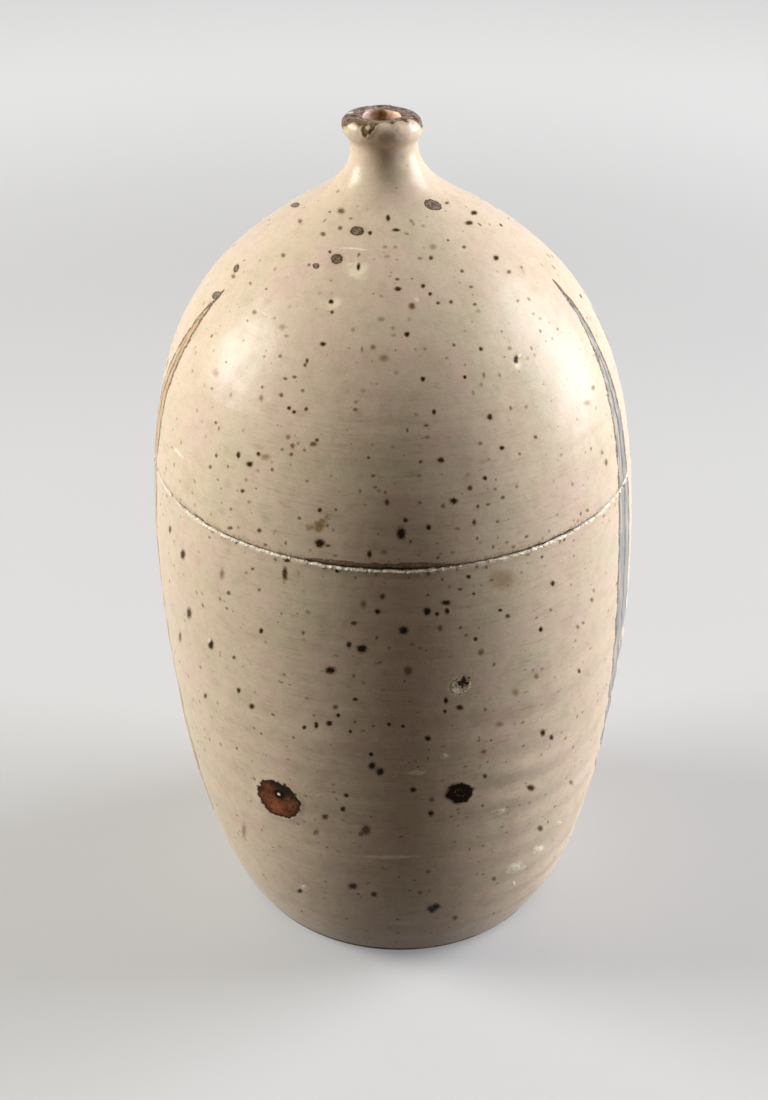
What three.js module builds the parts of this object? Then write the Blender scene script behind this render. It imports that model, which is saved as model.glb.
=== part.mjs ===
// Bud vase in two stoneware pieces: a thrown jar body with a stepped rim, and a domed lid that carries the neck.
// Millimetres, +Z up. The origin is on the table, under the middle of the belly.
import * as THREE from "three";

// Outline of the two pieces together
const BELLY_RADIUS = 57;
const BELLY_HEIGHT = 93;
const HEEL_RADIUS = 40.2;
const HEEL_PULL_OUT = 15.4;
const HEEL_PULL_UP = 21.3;
const BELLY_PULL_DOWN = 5;
const BELLY_PULL_UP = 61.3;
const DOME_HEIGHT = 93;
const SHOULDER_PULL = 34.9;
const SHOULDER_SLOPE = THREE.MathUtils.degToRad(31.8);
const NECK_FOOT_RADIUS = 16;

// Neck and lip
const NECK_RADIUS = 7.3;
const NECK_RISE = 11.5;
const NECK_FOOT_PULL = 5.5;
const NECK_PULL_DOWN = 5;
const LIP_FLARE_HEIGHT = 4.4;
const LIP_RADIUS = 8.65;
const LIP_ROUND = 1.9;
const LIP_ROUND_INSIDE = 2.8;
const BORE_RADIUS = 4.1;

// Foot
const FOOT_INSET = 3.2;
const FOOT_STEP = 1.2;
const FOOT_WIDTH = 5;
const FOOT_BEVEL = 0.4;
const HEEL_ROUND = 0.8;
const RECESS_DEPTH = 2.2;
const RECESS_DRAFT = 1.5;

// Walls
const JAR_WALL = 5;
const LID_WALL = 4.8;
const BASE_THICKNESS = 6;
const FLOOR_ROUND = 12;

// Seat of the lid
const SEAT_ABOVE_BELLY = 31.7;
const SEAT_WIDTH = 5.2;
const SEAT_CLEARANCE = 0.3;
const EDGE_ROUND = 1;
const COLLAR_HEIGHT = 8;
const COLLAR_THICKNESS = 3.2;
const COLLAR_ROUND = 1.2;
const COLLAR_CLEARANCE = 0.5;
const COLLAR_HEADROOM = 1.6;
const COLLAR_BLEND = 14;

// The pot leans a little to -X, and its neck a little more
const LEAN = 0.0215;
const NECK_SHIFT = 1.4;
const NECK_SHIFT_START = 14;

// Faces round the pot, and steps along each stretch of its outline
const SIDES = 48;
const WALL_STEPS = 9;
const CURVE_STEPS = 5;
const ROUND_STEPS = 2;

const heelHeight = FOOT_STEP + HEEL_ROUND;
const footRadius = HEEL_RADIUS - FOOT_INSET;
const floorHeight = RECESS_DEPTH + BASE_THICKNESS;
const neckFootHeight = BELLY_HEIGHT + DOME_HEIGHT;
const neckHeight = neckFootHeight + NECK_RISE;
const lipHeight = neckHeight + LIP_FLARE_HEIGHT;
const crestHeight = lipHeight + LIP_ROUND;
const crestRadius = (LIP_RADIUS + BORE_RADIUS) / 2;
const seatHeight = BELLY_HEIGHT + SEAT_ABOVE_BELLY;
const lidHeight = seatHeight + SEAT_CLEARANCE;

const point = (radius, height) => new THREE.Vector2(radius, height);

// Direction in which the shoulder rises into the neck
const shoulderWay = point(-Math.cos(SHOULDER_SLOPE), Math.sin(SHOULDER_SLOPE));
const neckFoot = point(NECK_FOOT_RADIUS, neckFootHeight);

const lowerWall = new THREE.CubicBezierCurve(
  point(HEEL_RADIUS, heelHeight),
  point(HEEL_RADIUS + HEEL_PULL_OUT, heelHeight + HEEL_PULL_UP),
  point(BELLY_RADIUS, BELLY_HEIGHT - BELLY_PULL_DOWN),
  point(BELLY_RADIUS, BELLY_HEIGHT),
);
const upperWall = new THREE.CubicBezierCurve(
  point(BELLY_RADIUS, BELLY_HEIGHT),
  point(BELLY_RADIUS, BELLY_HEIGHT + BELLY_PULL_UP),
  neckFoot.clone().addScaledVector(shoulderWay, -SHOULDER_PULL),
  neckFoot,
);

// The share of a rising curve at which it reaches a height
function shareAtHeight(curve, height) {
  let low = 0;
  let high = 1;
  for (let i = 0; i < 40; i++) {
    const middle = (low + high) / 2;
    if (curve.getPoint(middle).y < height) low = middle;
    else high = middle;
  }
  return (low + high) / 2;
}

// Points of a curve from one share of it to another, moved into the wall by a depth
function along(curve, from, to, steps, depth = 0) {
  const points = [];
  for (let i = 0; i <= steps; i++) {
    const share = from + ((to - from) * i) / steps;
    const way = curve.getTangent(share);
    points.push(curve.getPoint(share).addScaledVector(point(-way.y, way.x), depth));
  }
  return points;
}

// A smooth step between two points that both run up or down the pot
function blend(from, to, pullFrom, pullTo) {
  const curve = new THREE.CubicBezierCurve(
    from,
    point(from.x, from.y + pullFrom),
    point(to.x, to.y - pullTo),
    to,
  );
  return curve.getPoints(CURVE_STEPS);
}

// A quarter round between two points; it leaves the first one upright, or level
function quarter(from, to, upright) {
  const centre = upright ? point(to.x, from.y) : point(from.x, to.y);
  const points = [];
  for (let i = 0; i <= ROUND_STEPS; i++) {
    const angle = (i / ROUND_STEPS) * (Math.PI / 2);
    const a = upright ? Math.cos(angle) : Math.sin(angle);
    const b = upright ? Math.sin(angle) : Math.cos(angle);
    const across = upright ? from.x - centre.x : to.x - centre.x;
    const up = upright ? to.y - centre.y : from.y - centre.y;
    points.push(point(centre.x + across * a, centre.y + up * b));
  }
  return points;
}

const seatShare = shareAtHeight(upperWall, seatHeight);
const collarOuter = upperWall.getPoint(seatShare).x - SEAT_WIDTH;
const collarInner = collarOuter - COLLAR_THICKNESS;
const collarTop = seatHeight + COLLAR_HEIGHT;

function footProfile() {
  const inner = footRadius - FOOT_WIDTH;
  return [
    point(0, RECESS_DEPTH),
    point(inner - RECESS_DRAFT, RECESS_DEPTH),
    point(inner, FOOT_BEVEL),
    point(inner + FOOT_BEVEL, 0),
    point(footRadius - FOOT_BEVEL, 0),
    point(footRadius, FOOT_BEVEL),
    point(footRadius, FOOT_STEP),
    ...quarter(point(HEEL_RADIUS - HEEL_ROUND, FOOT_STEP), point(HEEL_RADIUS, heelHeight), false),
  ];
}

function collarProfile(edge) {
  return [
    ...quarter(edge, point(edge.x - EDGE_ROUND, seatHeight), true),
    point(collarOuter, seatHeight),
    ...quarter(
      point(collarOuter, collarTop - COLLAR_ROUND),
      point(collarOuter - COLLAR_ROUND, collarTop),
      true,
    ),
    ...quarter(
      point(collarInner + COLLAR_ROUND, collarTop),
      point(collarInner, collarTop - COLLAR_ROUND),
      false,
    ),
  ];
}

function jarInsideProfile() {
  const blendShare = shareAtHeight(upperWall, seatHeight - EDGE_ROUND - COLLAR_BLEND);
  const floorShare = shareAtHeight(lowerWall, floorHeight + FLOOR_ROUND);
  const upper = along(upperWall, blendShare, 0, CURVE_STEPS, JAR_WALL);
  const lower = along(lowerWall, 1, floorShare, WALL_STEPS, JAR_WALL);
  const floorEdge = lower.at(-1);
  return [
    ...blend(
      point(collarInner, seatHeight - EDGE_ROUND),
      upper[0],
      -COLLAR_BLEND / 2,
      -COLLAR_BLEND / 2,
    ),
    ...upper.slice(1),
    ...lower.slice(1),
    ...quarter(floorEdge, point(floorEdge.x - FLOOR_ROUND, floorHeight), true).slice(1),
    point(0, floorHeight),
  ];
}

function jarProfile() {
  const edgeShare = shareAtHeight(upperWall, seatHeight - EDGE_ROUND);
  const upper = along(upperWall, 0, edgeShare, CURVE_STEPS);
  return [
    ...footProfile(),
    ...along(lowerWall, 0, 1, WALL_STEPS).slice(1),
    ...upper.slice(1, -1),
    ...collarProfile(upper.at(-1)),
    ...jarInsideProfile(),
  ];
}

function neckProfile() {
  const neck = new THREE.CubicBezierCurve(
    neckFoot,
    neckFoot.clone().addScaledVector(shoulderWay, NECK_FOOT_PULL),
    point(NECK_RADIUS, neckHeight - NECK_PULL_DOWN),
    point(NECK_RADIUS, neckHeight),
  );
  const lip = blend(
    point(NECK_RADIUS, neckHeight),
    point(LIP_RADIUS, lipHeight),
    LIP_FLARE_HEIGHT / 2,
    LIP_FLARE_HEIGHT / 2,
  );
  return [
    ...neck.getPoints(CURVE_STEPS).slice(1),
    ...lip.slice(1),
    ...quarter(point(LIP_RADIUS, lipHeight), point(crestRadius, crestHeight), true).slice(1),
    ...quarter(
      point(crestRadius, crestHeight),
      point(BORE_RADIUS, crestHeight - LIP_ROUND_INSIDE),
      false,
    ).slice(1),
  ];
}

function lidInsideProfile() {
  const ledgeHeight = lidHeight + COLLAR_HEIGHT + COLLAR_HEADROOM;
  const ledgeShare = shareAtHeight(upperWall, ledgeHeight);
  const dome = along(upperWall, 1, ledgeShare, WALL_STEPS, LID_WALL);
  const throat = new THREE.CubicBezierCurve(
    point(BORE_RADIUS, neckFootHeight + NECK_FOOT_PULL),
    point(BORE_RADIUS, neckFootHeight),
    dome[0].clone().addScaledVector(shoulderWay, NECK_FOOT_PULL),
    dome[0],
  );
  return [
    ...throat.getPoints(CURVE_STEPS),
    ...dome.slice(1),
    point(collarOuter + COLLAR_CLEARANCE, dome.at(-1).y),
  ];
}

function lidProfile() {
  const edgeShare = shareAtHeight(upperWall, lidHeight + EDGE_ROUND);
  const dome = along(upperWall, edgeShare, 1, WALL_STEPS);
  const start = point(collarOuter + COLLAR_CLEARANCE, lidHeight);
  return [
    start,
    ...quarter(point(dome[0].x - EDGE_ROUND, lidHeight), dome[0], false),
    ...dome.slice(1),
    ...neckProfile(),
    ...lidInsideProfile(),
    start.clone(),
  ];
}

// How far the pot's axis has moved to +X at a height
function leanAt(height) {
  const start = neckFootHeight - NECK_SHIFT_START;
  const share = Math.max(0, height - start) / (crestHeight - start);
  return LEAN * (BELLY_HEIGHT - height) - NECK_SHIFT * share * share;
}

// A turned piece about the pot's upright, leaning axis
function turned(profile) {
  const geometry = new THREE.LatheGeometry(profile, SIDES);
  geometry.rotateX(Math.PI / 2);
  const position = geometry.attributes.position;
  for (let i = 0; i < position.count; i++)
    position.setX(i, position.getX(i) + leanAt(position.getZ(i)));
  geometry.computeVertexNormals();
  return geometry;
}

function stoneware(colour) {
  return new THREE.MeshStandardMaterial({ color: colour, roughness: 0.42, metalness: 0 });
}

function piece(name, profile, colour) {
  const mesh = new THREE.Mesh(turned(profile), stoneware(colour));
  mesh.name = name;
  return mesh;
}

const vase = new THREE.Group();
vase.add(piece("jar_body", jarProfile(), 0xc9bda6));
vase.add(piece("lid_with_neck", lidProfile(), 0xcfc4ad));

export default vase;
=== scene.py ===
"""Looks of the bud vase: two stoneware pieces with a satin, iron-speckled cream glaze."""

import math

import bpy
import numpy as np
from mathutils import Matrix, Vector

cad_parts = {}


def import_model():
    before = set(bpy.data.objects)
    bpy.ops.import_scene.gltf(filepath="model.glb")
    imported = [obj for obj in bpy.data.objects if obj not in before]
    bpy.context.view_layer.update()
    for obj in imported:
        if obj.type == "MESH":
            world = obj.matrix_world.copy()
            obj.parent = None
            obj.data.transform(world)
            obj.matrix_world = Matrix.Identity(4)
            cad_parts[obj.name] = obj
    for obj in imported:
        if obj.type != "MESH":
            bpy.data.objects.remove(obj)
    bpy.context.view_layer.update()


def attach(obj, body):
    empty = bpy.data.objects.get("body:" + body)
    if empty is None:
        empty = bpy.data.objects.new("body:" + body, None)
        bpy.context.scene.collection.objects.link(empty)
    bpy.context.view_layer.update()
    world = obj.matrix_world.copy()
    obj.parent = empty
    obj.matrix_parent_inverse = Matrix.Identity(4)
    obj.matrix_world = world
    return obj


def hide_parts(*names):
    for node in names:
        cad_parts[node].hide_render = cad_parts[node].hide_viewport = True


MM = 0.001
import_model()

# Outline of the pot in millimetres: the same driving sizes as the solids
BELLY_RADIUS = 57
BELLY_HEIGHT = 93
HEEL_RADIUS = 40.2
HEEL_PULL = (15.4, 21.3)
BELLY_PULL_DOWN = 5
BELLY_PULL_UP = 61.3
DOME_HEIGHT = 93
SHOULDER_PULL = 34.9
SHOULDER_SLOPE = math.radians(31.8)
NECK_FOOT_RADIUS = 16
NECK_RADIUS = 7.3
NECK_RISE = 11.5
NECK_FOOT_PULL = 5.5
NECK_PULL_DOWN = 5
LIP_FLARE_HEIGHT = 4.4
LIP_RADIUS = 8.65
LIP_ROUND = 1.9
LIP_ROUND_INSIDE = 2.8
BORE_RADIUS = 4.1
FOOT_INSET = 3.2
FOOT_STEP = 1.2
FOOT_WIDTH = 5
FOOT_BEVEL = 0.4
HEEL_ROUND = 0.8
RECESS_DEPTH = 2.2
RECESS_DRAFT = 1.5
JAR_WALL = 5
LID_WALL = 4.8
BASE_THICKNESS = 6
FLOOR_ROUND = 12
SEAT_ABOVE_BELLY = 31.7
SEAT_WIDTH = 5.2
SEAT_CLEARANCE = 0.3
JAR_EDGE_ROUND = 0.9
LID_EDGE_ROUND = 0.45
COLLAR_HEIGHT = 8
COLLAR_THICKNESS = 3.2
COLLAR_ROUND = 1.2
COLLAR_CLEARANCE = 0.5
COLLAR_HEADROOM = 1.6
COLLAR_BLEND = 14
LEAN = 0.0215
NECK_SHIFT = 1.4
NECK_SHIFT_START = 14

HEEL_HEIGHT = FOOT_STEP + HEEL_ROUND
FOOT_RADIUS = HEEL_RADIUS - FOOT_INSET
FLOOR_HEIGHT = RECESS_DEPTH + BASE_THICKNESS
NECK_FOOT_HEIGHT = BELLY_HEIGHT + DOME_HEIGHT
NECK_HEIGHT = NECK_FOOT_HEIGHT + NECK_RISE
LIP_HEIGHT = NECK_HEIGHT + LIP_FLARE_HEIGHT
CREST_HEIGHT = LIP_HEIGHT + LIP_ROUND
CREST_RADIUS = (LIP_RADIUS + BORE_RADIUS) / 2
SEAT_HEIGHT = BELLY_HEIGHT + SEAT_ABOVE_BELLY
LID_HEIGHT = SEAT_HEIGHT + SEAT_CLEARANCE

# Mesh: points round a ring, how they gather in front, and the seam's band and steps in millimetres
EDGE_SIDES = 864
WALL_SIDES = 432
NECK_SIDES = 216
INSIDE_SIDES = 108
FRONT_SHARE = 0.3
EDGE_BAND = 3.0
EDGE_STEP = 0.25
WALL_STEP = 0.78
NECK_STEP = 0.5
LIP_STEP = 0.2
INSIDE_STEP = 2.4

# The photograph's view: a pinhole camera in the pot's own millimetres
IMAGE_WIDTH = 768
IMAGE_HEIGHT = 1100
FOCAL_PIXELS = 1800
CAMERA_PLACE = Vector((-2.42, -373.9, 325.7))
CAMERA_PITCH = math.radians(31.64)
CAMERA_ROLL = math.radians(0.47)
FORWARD = Vector((0, math.cos(CAMERA_PITCH), -math.sin(CAMERA_PITCH)))
RIGHT = Vector((1, 0, 0))
ABOVE = RIGHT.cross(FORWARD)
SIDE = math.cos(CAMERA_ROLL) * RIGHT + math.sin(CAMERA_ROLL) * ABOVE
TOP = -math.sin(CAMERA_ROLL) * RIGHT + math.cos(CAMERA_ROLL) * ABOVE

# Iron spots that can be told apart: place, width and height in pixels, and darkness
DOME_SPOTS = {
    "by_neck_right": (370, 233, 4, 4, 0.9),
    "by_neck_left": (341, 211, 7, 5, 0.7),
    "by_neck_upper": (388, 218, 4, 6, 0.9),
    "by_neck_dash": (396, 230, 7, 3, 0.9),
    "by_neck_small": (340, 228, 4, 4, 0.7),
    "by_neck_far": (323, 234, 5, 4, 0.7),
    "shoulder_left_small": (309, 265, 3, 3, 0.6),
    "shoulder_pit": (358.5, 266.5, 3.5, 7, 1.0),
    "dome_pit": (331, 301.5, 4.5, 4.5, 1.0),
    "right_pit": (516.5, 359.5, 5, 8, 1.0),
    "shoulder_dot": (330, 252, 3, 3, 0.8),
    "left_crest_small": (300, 221, 4, 4, 0.6),
    "left_slope": (283, 255, 4, 4, 0.6),
    "left_edge_small": (233, 276, 4, 4, 0.6),
    "left_edge_dot": (250, 283, 3, 3, 0.5),
    "left_glow_dot": (254, 312, 4, 4, 0.6),
    "left_glow_soft": (282, 327, 6, 5, 0.25),
    "middle_below_pit": (332, 312, 3.5, 3.5, 0.8),
    "middle_left": (323, 344, 6, 4, 0.9),
    "middle": (373, 347, 5, 5, 0.5),
    "middle_soft": (384, 358, 8, 6, 0.35),
    "middle_tall": (362, 349, 2.5, 6, 0.4),
    "middle_left_dot": (280, 356, 3.5, 3.5, 0.6),
    "pair_upper": (307, 361, 3, 5, 0.8),
    "pair_lower": (305, 365, 3, 4, 0.7),
    "left_low": (216, 373, 5, 7, 0.25),
    "left_low_dot": (226, 362, 2.5, 2.5, 0.6),
    "left_lower": (281, 395, 4, 4, 0.7),
    "left_lower_brown": (261, 398, 4, 6, 0.5),
    "left_lower_dot": (262, 387, 3, 3, 0.6),
    "lower_left_trio": (289, 408, 4, 4, 0.9),
    "lower_left_trio_low": (294, 412, 3.5, 3.5, 0.9),
    "lower_left_trio_right": (306, 409, 3.5, 3.5, 0.8),
    "centre_dark": (398, 289, 7, 4, 0.9),
    "centre_rust": (412, 306, 6, 6, 0.75),
    "centre_black": (407, 334, 5, 5, 1.0),
    "centre_soft": (381, 319, 6, 4, 0.3),
    "right_upper": (474, 213, 6, 4, 1.0),
    "right_upper_low": (469, 223, 7, 4, 0.9),
    "right_crest": (447, 203, 4, 3, 0.7),
    "right_soft": (433, 247, 6, 5, 0.3),
    "right_dot": (431, 258, 4, 4, 0.8),
    "right_pair": (464, 247, 4, 3, 0.7),
    "right_bold": (496, 258, 5, 5, 1.0),
    "right_low": (509, 272, 4, 4, 0.7),
    "right_left_low": (462, 271, 3.5, 3.5, 0.7),
    "row_first": (423, 286, 4, 4, 0.9),
    "row_second": (430, 294, 3.5, 3.5, 0.9),
    "row_third": (438, 303, 4, 3, 0.8),
    "row_fourth": (451, 302, 3.5, 3.5, 0.8),
    "belt_right": (481, 349, 4, 4, 0.9),
    "belt_right_far": (510, 348, 4, 4, 0.5),
    "belt_centre": (454, 345, 3, 3, 0.7),
    "belt_low": (423, 379, 4.5, 4.5, 1.0),
    "belt_low_right": (465, 377, 3.5, 3.5, 1.0),
    "belt_low_far": (484, 375, 3, 5, 0.5),
    "far_right": (593, 388, 3.5, 5, 0.6),
    "far_right_soft": (587, 403, 6, 5, 0.35),
    "low_centre": (434, 412, 4, 5, 0.9),
    "low_right": (490, 417, 5, 6, 0.9),
    "low_far_right": (502, 448, 4.5, 4.5, 1.0),
    "low_middle": (441, 460, 6, 5, 0.9),
    "low_middle_left": (420.5, 462, 3.5, 3.5, 0.7),
    "low_right_soft": (480.5, 443.5, 4, 4, 0.5),
    "low_right_upper": (536, 437, 3.5, 3.5, 0.7),
    "low_right_faint": (520, 454, 3, 3, 0.5),
    "low_right_black": (485, 478, 4, 4, 0.95),
    "low_right_brown": (470, 488, 4.5, 4.5, 0.8),
    "low_right_last": (495, 489, 3, 3, 0.5),
    "edge_right_tall": (606, 462.5, 2.5, 6, 0.7),
    "edge_right_small": (602, 452.5, 2.5, 4, 0.5),
    "edge_right_low": (572.5, 484, 3, 4, 0.4),
    "crumbs_left_first": (288, 437, 4, 5, 0.5),
    "crumbs_left_second": (292.5, 446, 4, 5, 0.6),
    "crumbs_left_third": (291, 454.5, 3.5, 3.5, 0.7),
    "crumbs_left_fourth": (282, 449.5, 3, 3, 0.5),
    "crumbs_left_fifth": (298, 443.5, 3, 3, 0.4),
    "crumbs_left_sixth": (304.5, 450, 3, 3, 0.5),
    "crumbs_left_seventh": (313.5, 444, 6.5, 4.5, 0.7),
    "crumbs_left_last": (317, 440, 3.5, 3.5, 0.8),
    "seam_left_first": (238, 455, 4, 6, 0.9),
    "seam_left_second": (249.5, 464, 6, 5, 1.0),
    "seam_left_third": (258, 454, 4, 4, 0.9),
    "seam_left_brown": (265.5, 457, 9, 6, 0.35),
    "seam_left_fourth": (216, 455.5, 2.5, 4, 0.7),
    "seam_left_fifth": (210, 467, 3, 4, 0.6),
    "seam_left_sixth": (242.5, 491, 4, 4, 0.8),
    "seam_left_seventh": (249, 502, 3, 3, 0.4),
    "seam_left_eighth": (231, 509, 3, 3, 0.5),
    "seam_left_ninth": (259.5, 530.5, 4, 4, 0.8),
    "seam_left_tenth": (272, 469.5, 3.5, 3.5, 0.6),
    "seam_left_faint": (307, 481, 3, 3, 0.5),
    "seam_left_last": (230, 528, 5, 3.5, 0.7),
    "seam_dot": (320, 510, 4, 4, 0.9),
    "seam_dot_small": (327.5, 525.5, 3, 3, 0.6),
    "seam_blotch_left": (320, 543, 9, 8, 1.0),
    "seam_blotch_tail": (328, 545.5, 5, 3, 0.7),
    "seam_centre_upper": (368.5, 457.5, 3, 3, 0.7),
    "seam_centre_faint": (360, 491, 3, 4, 0.4),
    "seam_centre_small": (385.5, 492, 3, 3, 0.6),
    "seam_middle": (387, 502, 5, 6, 0.8),
    "seam_above": (405.5, 520, 4.5, 4.5, 0.9),
    "seam_blotch": (401, 533.5, 9, 12, 1.0),
    "seam_right": (428.5, 527, 5, 5.5, 1.0),
    "seam_near": (369.5, 554, 4.5, 7, 0.9),
    "seam_near_soft": (384, 552, 6, 4, 0.4),
    "seam_right_bold": (453.5, 501, 7.5, 6, 0.95),
    "seam_right_soft": (443, 506, 4, 4, 0.6),
    "seam_right_tall": (474, 522, 3.5, 5, 0.8),
    "seam_right_small": (497.5, 521.5, 3, 3, 0.6),
    "seam_right_faint": (457.5, 528.5, 5, 3, 0.4),
    "seam_far": (587.5, 510.5, 3, 3, 0.6),
}
BODY_SPOTS = {
    "seam_flake": (287.5, 560.5, 6, 3, 0.9),
    "seam_tall": (285, 574, 5, 13, 0.85),
    "seam_edge": (338, 570.5, 5, 4, 1.0),
    "seam_under_left": (236.5, 542, 3, 4, 0.8),
    "left_edge_tall": (169.5, 529.5, 2.5, 7, 0.8),
    "left_dash": (182.5, 554.5, 4.5, 9, 0.9),
    "left_dash_low": (188.5, 613.5, 4.5, 10, 0.85),
    "left_dash_edge": (179.5, 637, 3, 9, 0.7),
    "left_soft": (222, 574, 4, 9, 0.45),
    "left_dot": (228.5, 593, 3.5, 4, 0.7),
    "left_small": (252.5, 569, 3, 3, 0.7),
    "left_faint": (246, 573, 2.5, 2.5, 0.4),
    "left_second": (259, 590, 3, 3, 0.6),
    "left_bold": (210, 645, 5, 9, 1.0),
    "left_low_first": (238, 691, 3.5, 5, 0.9),
    "left_low_second": (251, 707, 5, 5, 0.9),
    "left_low_third": (205, 696, 3, 5, 0.8),
    "left_low_fourth": (233, 658, 3, 3, 0.8),
    "upper_left": (261, 631, 4, 5, 1.0),
    "upper_left_low": (303, 633, 3, 4, 0.6),
    "upper_left_faint": (308, 612, 4.5, 4, 0.3),
    "upper_pair": (382.5, 596.5, 5.5, 5.5, 0.8),
    "upper_pair_low": (377.5, 611.5, 5.5, 5, 1.0),
    "upper_soft": (363.5, 604, 6, 7, 0.5),
    "centre_left_dot": (354, 623, 6, 4, 0.8),
    "centre_bold": (403.5, 630.5, 9, 8, 1.0),
    "centre_right": (427, 611.5, 7, 8, 1.0),
    "centre_right_dot": (437, 614, 4, 4, 0.9),
    "centre_right_tall": (447, 611, 4.5, 6, 0.95),
    "centre_dash": (446, 602.5, 9, 4.5, 0.95),
    "centre_right_low": (440, 628, 5, 6, 0.7),
    "centre_small": (355.5, 577.5, 3, 3, 0.5),
    "right_upper": (468.5, 576.5, 4.5, 4, 0.9),
    "right_upper_second": (460, 589, 4, 3, 0.7),
    "right_upper_third": (473.5, 593.5, 3, 3, 0.8),
    "right_seam_first": (476.5, 566.5, 3, 3, 0.5),
    "right_seam_second": (486, 567, 3, 3, 0.5),
    "right_soft": (502, 579, 21, 16, 0.12),
    "right_black": (553, 583.5, 4, 5, 0.9),
    "right_edge_first": (592, 600, 3, 4, 0.6),
    "right_edge_second": (594, 590.5, 2, 3.5, 0.4),
    "right_dot": (500, 610, 4, 3, 0.9),
    "right_dot_second": (507.5, 616, 4.5, 4, 0.8),
    "right_dot_third": (551, 610, 3, 3, 0.5),
    "right_dot_fourth": (541, 629.5, 4, 5, 1.0),
    "right_dot_fifth": (475.5, 639, 4, 4, 0.9),
    "right_dot_sixth": (466, 635, 3.5, 3, 0.5),
    "right_edge_third": (583.5, 623, 3, 3, 0.5),
    "right_edge_fourth": (578, 627, 3, 4, 0.5),
    "middle_oval": (330, 671, 10, 7, 1.0),
    "middle_dark": (362, 649, 10, 8, 1.0),
    "middle_right": (349, 645, 5, 6, 0.9),
    "cluster_first": (304, 728, 4, 4, 0.9),
    "cluster_second": (316, 726, 4, 6, 1.0),
    "cluster_third": (329, 724, 6, 5, 1.0),
    "cluster_fourth": (338, 716, 4, 4, 1.0),
    "cluster_fifth": (335, 708, 5, 4, 0.7),
    "cluster_dash": (355, 700, 5, 3, 0.9),
    "cluster_low": (350, 732, 3.5, 3.5, 0.9),
    "right_oval": (408, 671, 7, 9, 0.7),
    "right_below_chip": (460, 708, 7, 5, 0.9),
    "right_left_of_chip": (446, 701, 4, 6, 1.0),
    "right_small": (445, 712, 3.5, 3.5, 0.9),
    "right_round": (481, 652, 6, 6, 0.6),
    "right_far_soft": (516, 693, 6, 6, 0.4),
    "right_soft_first": (500, 725, 7, 5, 0.4),
    "right_soft_second": (484, 752, 5, 4, 0.5),
    "right_pair_first": (543, 733, 5, 6, 1.0),
    "right_pair_second": (552, 738, 4, 5, 0.9),
    "far_dot": (579, 671, 3, 4, 0.8),
    "far_right_dash": (537, 677, 4, 5, 0.5),
    "low_pair_first": (372, 766, 7, 7, 1.0),
    "low_pair_second": (380, 772, 8, 7, 1.0),
    "low_pair_right": (389, 725, 4, 4, 1.0),
    "low_right_first": (403, 727, 3.5, 3.5, 0.9),
    "low_right_second": (428, 739, 6, 5, 1.0),
    "low_small": (371, 755, 4, 4, 1.0),
    "low_left": (346, 796, 5, 4, 0.9),
    "low_left_second": (343, 809, 5, 5, 0.9),
    "low_left_third": (325, 817, 6, 5, 0.8),
    "low_centre": (366, 830, 9, 9, 0.8),
    "low_centre_left": (361, 834, 5, 4, 0.7),
    "low_dash": (244, 831, 4, 13, 0.4),
    "low_left_fourth": (316, 832, 5, 5, 0.6),
    "low_right_pair": (413, 790, 6, 5, 1.0),
    "low_right_brown": (431, 813, 6, 5, 1.0),
    "low_right_soft": (432, 800, 5, 5, 0.6),
    "low_far_right": (531, 788, 7, 5, 0.9),
    "low_far_right_second": (541, 829, 5, 5, 0.8),
    "low_far_right_pair": (572, 783, 3, 4, 0.6),
    "low_far_dot": (485, 776, 4, 4, 0.8),
    "bottom_first": (353, 886, 9, 6, 0.9),
    "bottom_second": (374, 894, 6, 5, 0.9),
    "bottom_bold": (431.5, 909, 9, 7, 1.0),
    "bottom_bold_right": (436, 906.5, 8, 6, 1.0),
    "bottom_third": (428, 871, 5, 4, 0.6),
    "bottom_right": (455, 918, 5, 4, 0.8),
    "bottom_left": (300, 891, 5, 4, 0.9),
    "bottom_fourth": (420, 892, 4, 3, 0.7),
    "bottom_far_right": (494, 879, 4, 4, 0.7),
}

# Marks with a form of their own: kind, place, width, height in pixels, and turn in degrees
# The scars and glints among them are partly painted highlights
MARKS = {
    "rust_blotch": ("rust", 278, 799, 48, 31, -38),
    "slag_blotch": ("slag", 460, 793, 30, 22, 12),
    "body_chip": ("chip", 460.5, 686, 24, 17, 28),
    "body_nick": ("glint", 444, 756, 9, 6, 10),
    "body_dash": ("scar", 418, 773, 17, 5, 3),
    "low_dash": ("scar", 500, 811, 15, 6, 14),
    "low_nick": ("scar", 539, 850, 12, 7, 30),
    "low_far_nick": ("glint", 560, 823, 5, 4, 30),
    "low_scrape": ("glint", 515.5, 868.5, 18, 9, 24),
    "low_scrape_dot": ("scar", 514, 884, 4, 4.5, 0),
    "bottom_nick": ("scar", 305, 887, 9, 5, -25),
    "low_line": ("scar", 392, 857, 66, 3.4, 0),
    "seam_scratch": ("scar", 178, 453, 15, 3, -48),
    "shoulder_line": ("scar", 354, 249, 25, 2.5, -3),
    "row_glint": ("glint", 417, 300, 5, 4, -40),
    "shoulder_glint": ("glint", 352, 264, 7, 4, 0),
    "left_glint": ("glint", 208, 641, 3, 5, -20),
    "right_glint": ("glint", 520, 355, 3, 4, 0),
    "shoulder_halo": ("pit", 356, 269, 30, 25, 0),
    "dome_halo": ("halo", 333, 303, 25, 14, 0),
    "right_halo": ("pit", 519, 362, 14, 15, 0),
    "by_neck": ("mottle", 357, 231, 14, 9, 0),
    "shoulder_round": ("mottle", 337, 259, 11.5, 10, 10),
    "left_crest": ("mottle", 295, 205, 9, 4.5, 10),
    "left_edge": ("mottle", 236, 268, 5, 9, -25),
    "leaf_tip": ("bruise", 216, 295, 10, 7, 30),
    "shoulder_left": ("bruise", 316, 266, 7, 6, 0),
    "seam_smear": ("smear", 319, 523, 24, 20, 0),
    "bruise": ("bruise", 433, 205, 18.5, 10, -18),
}

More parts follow.
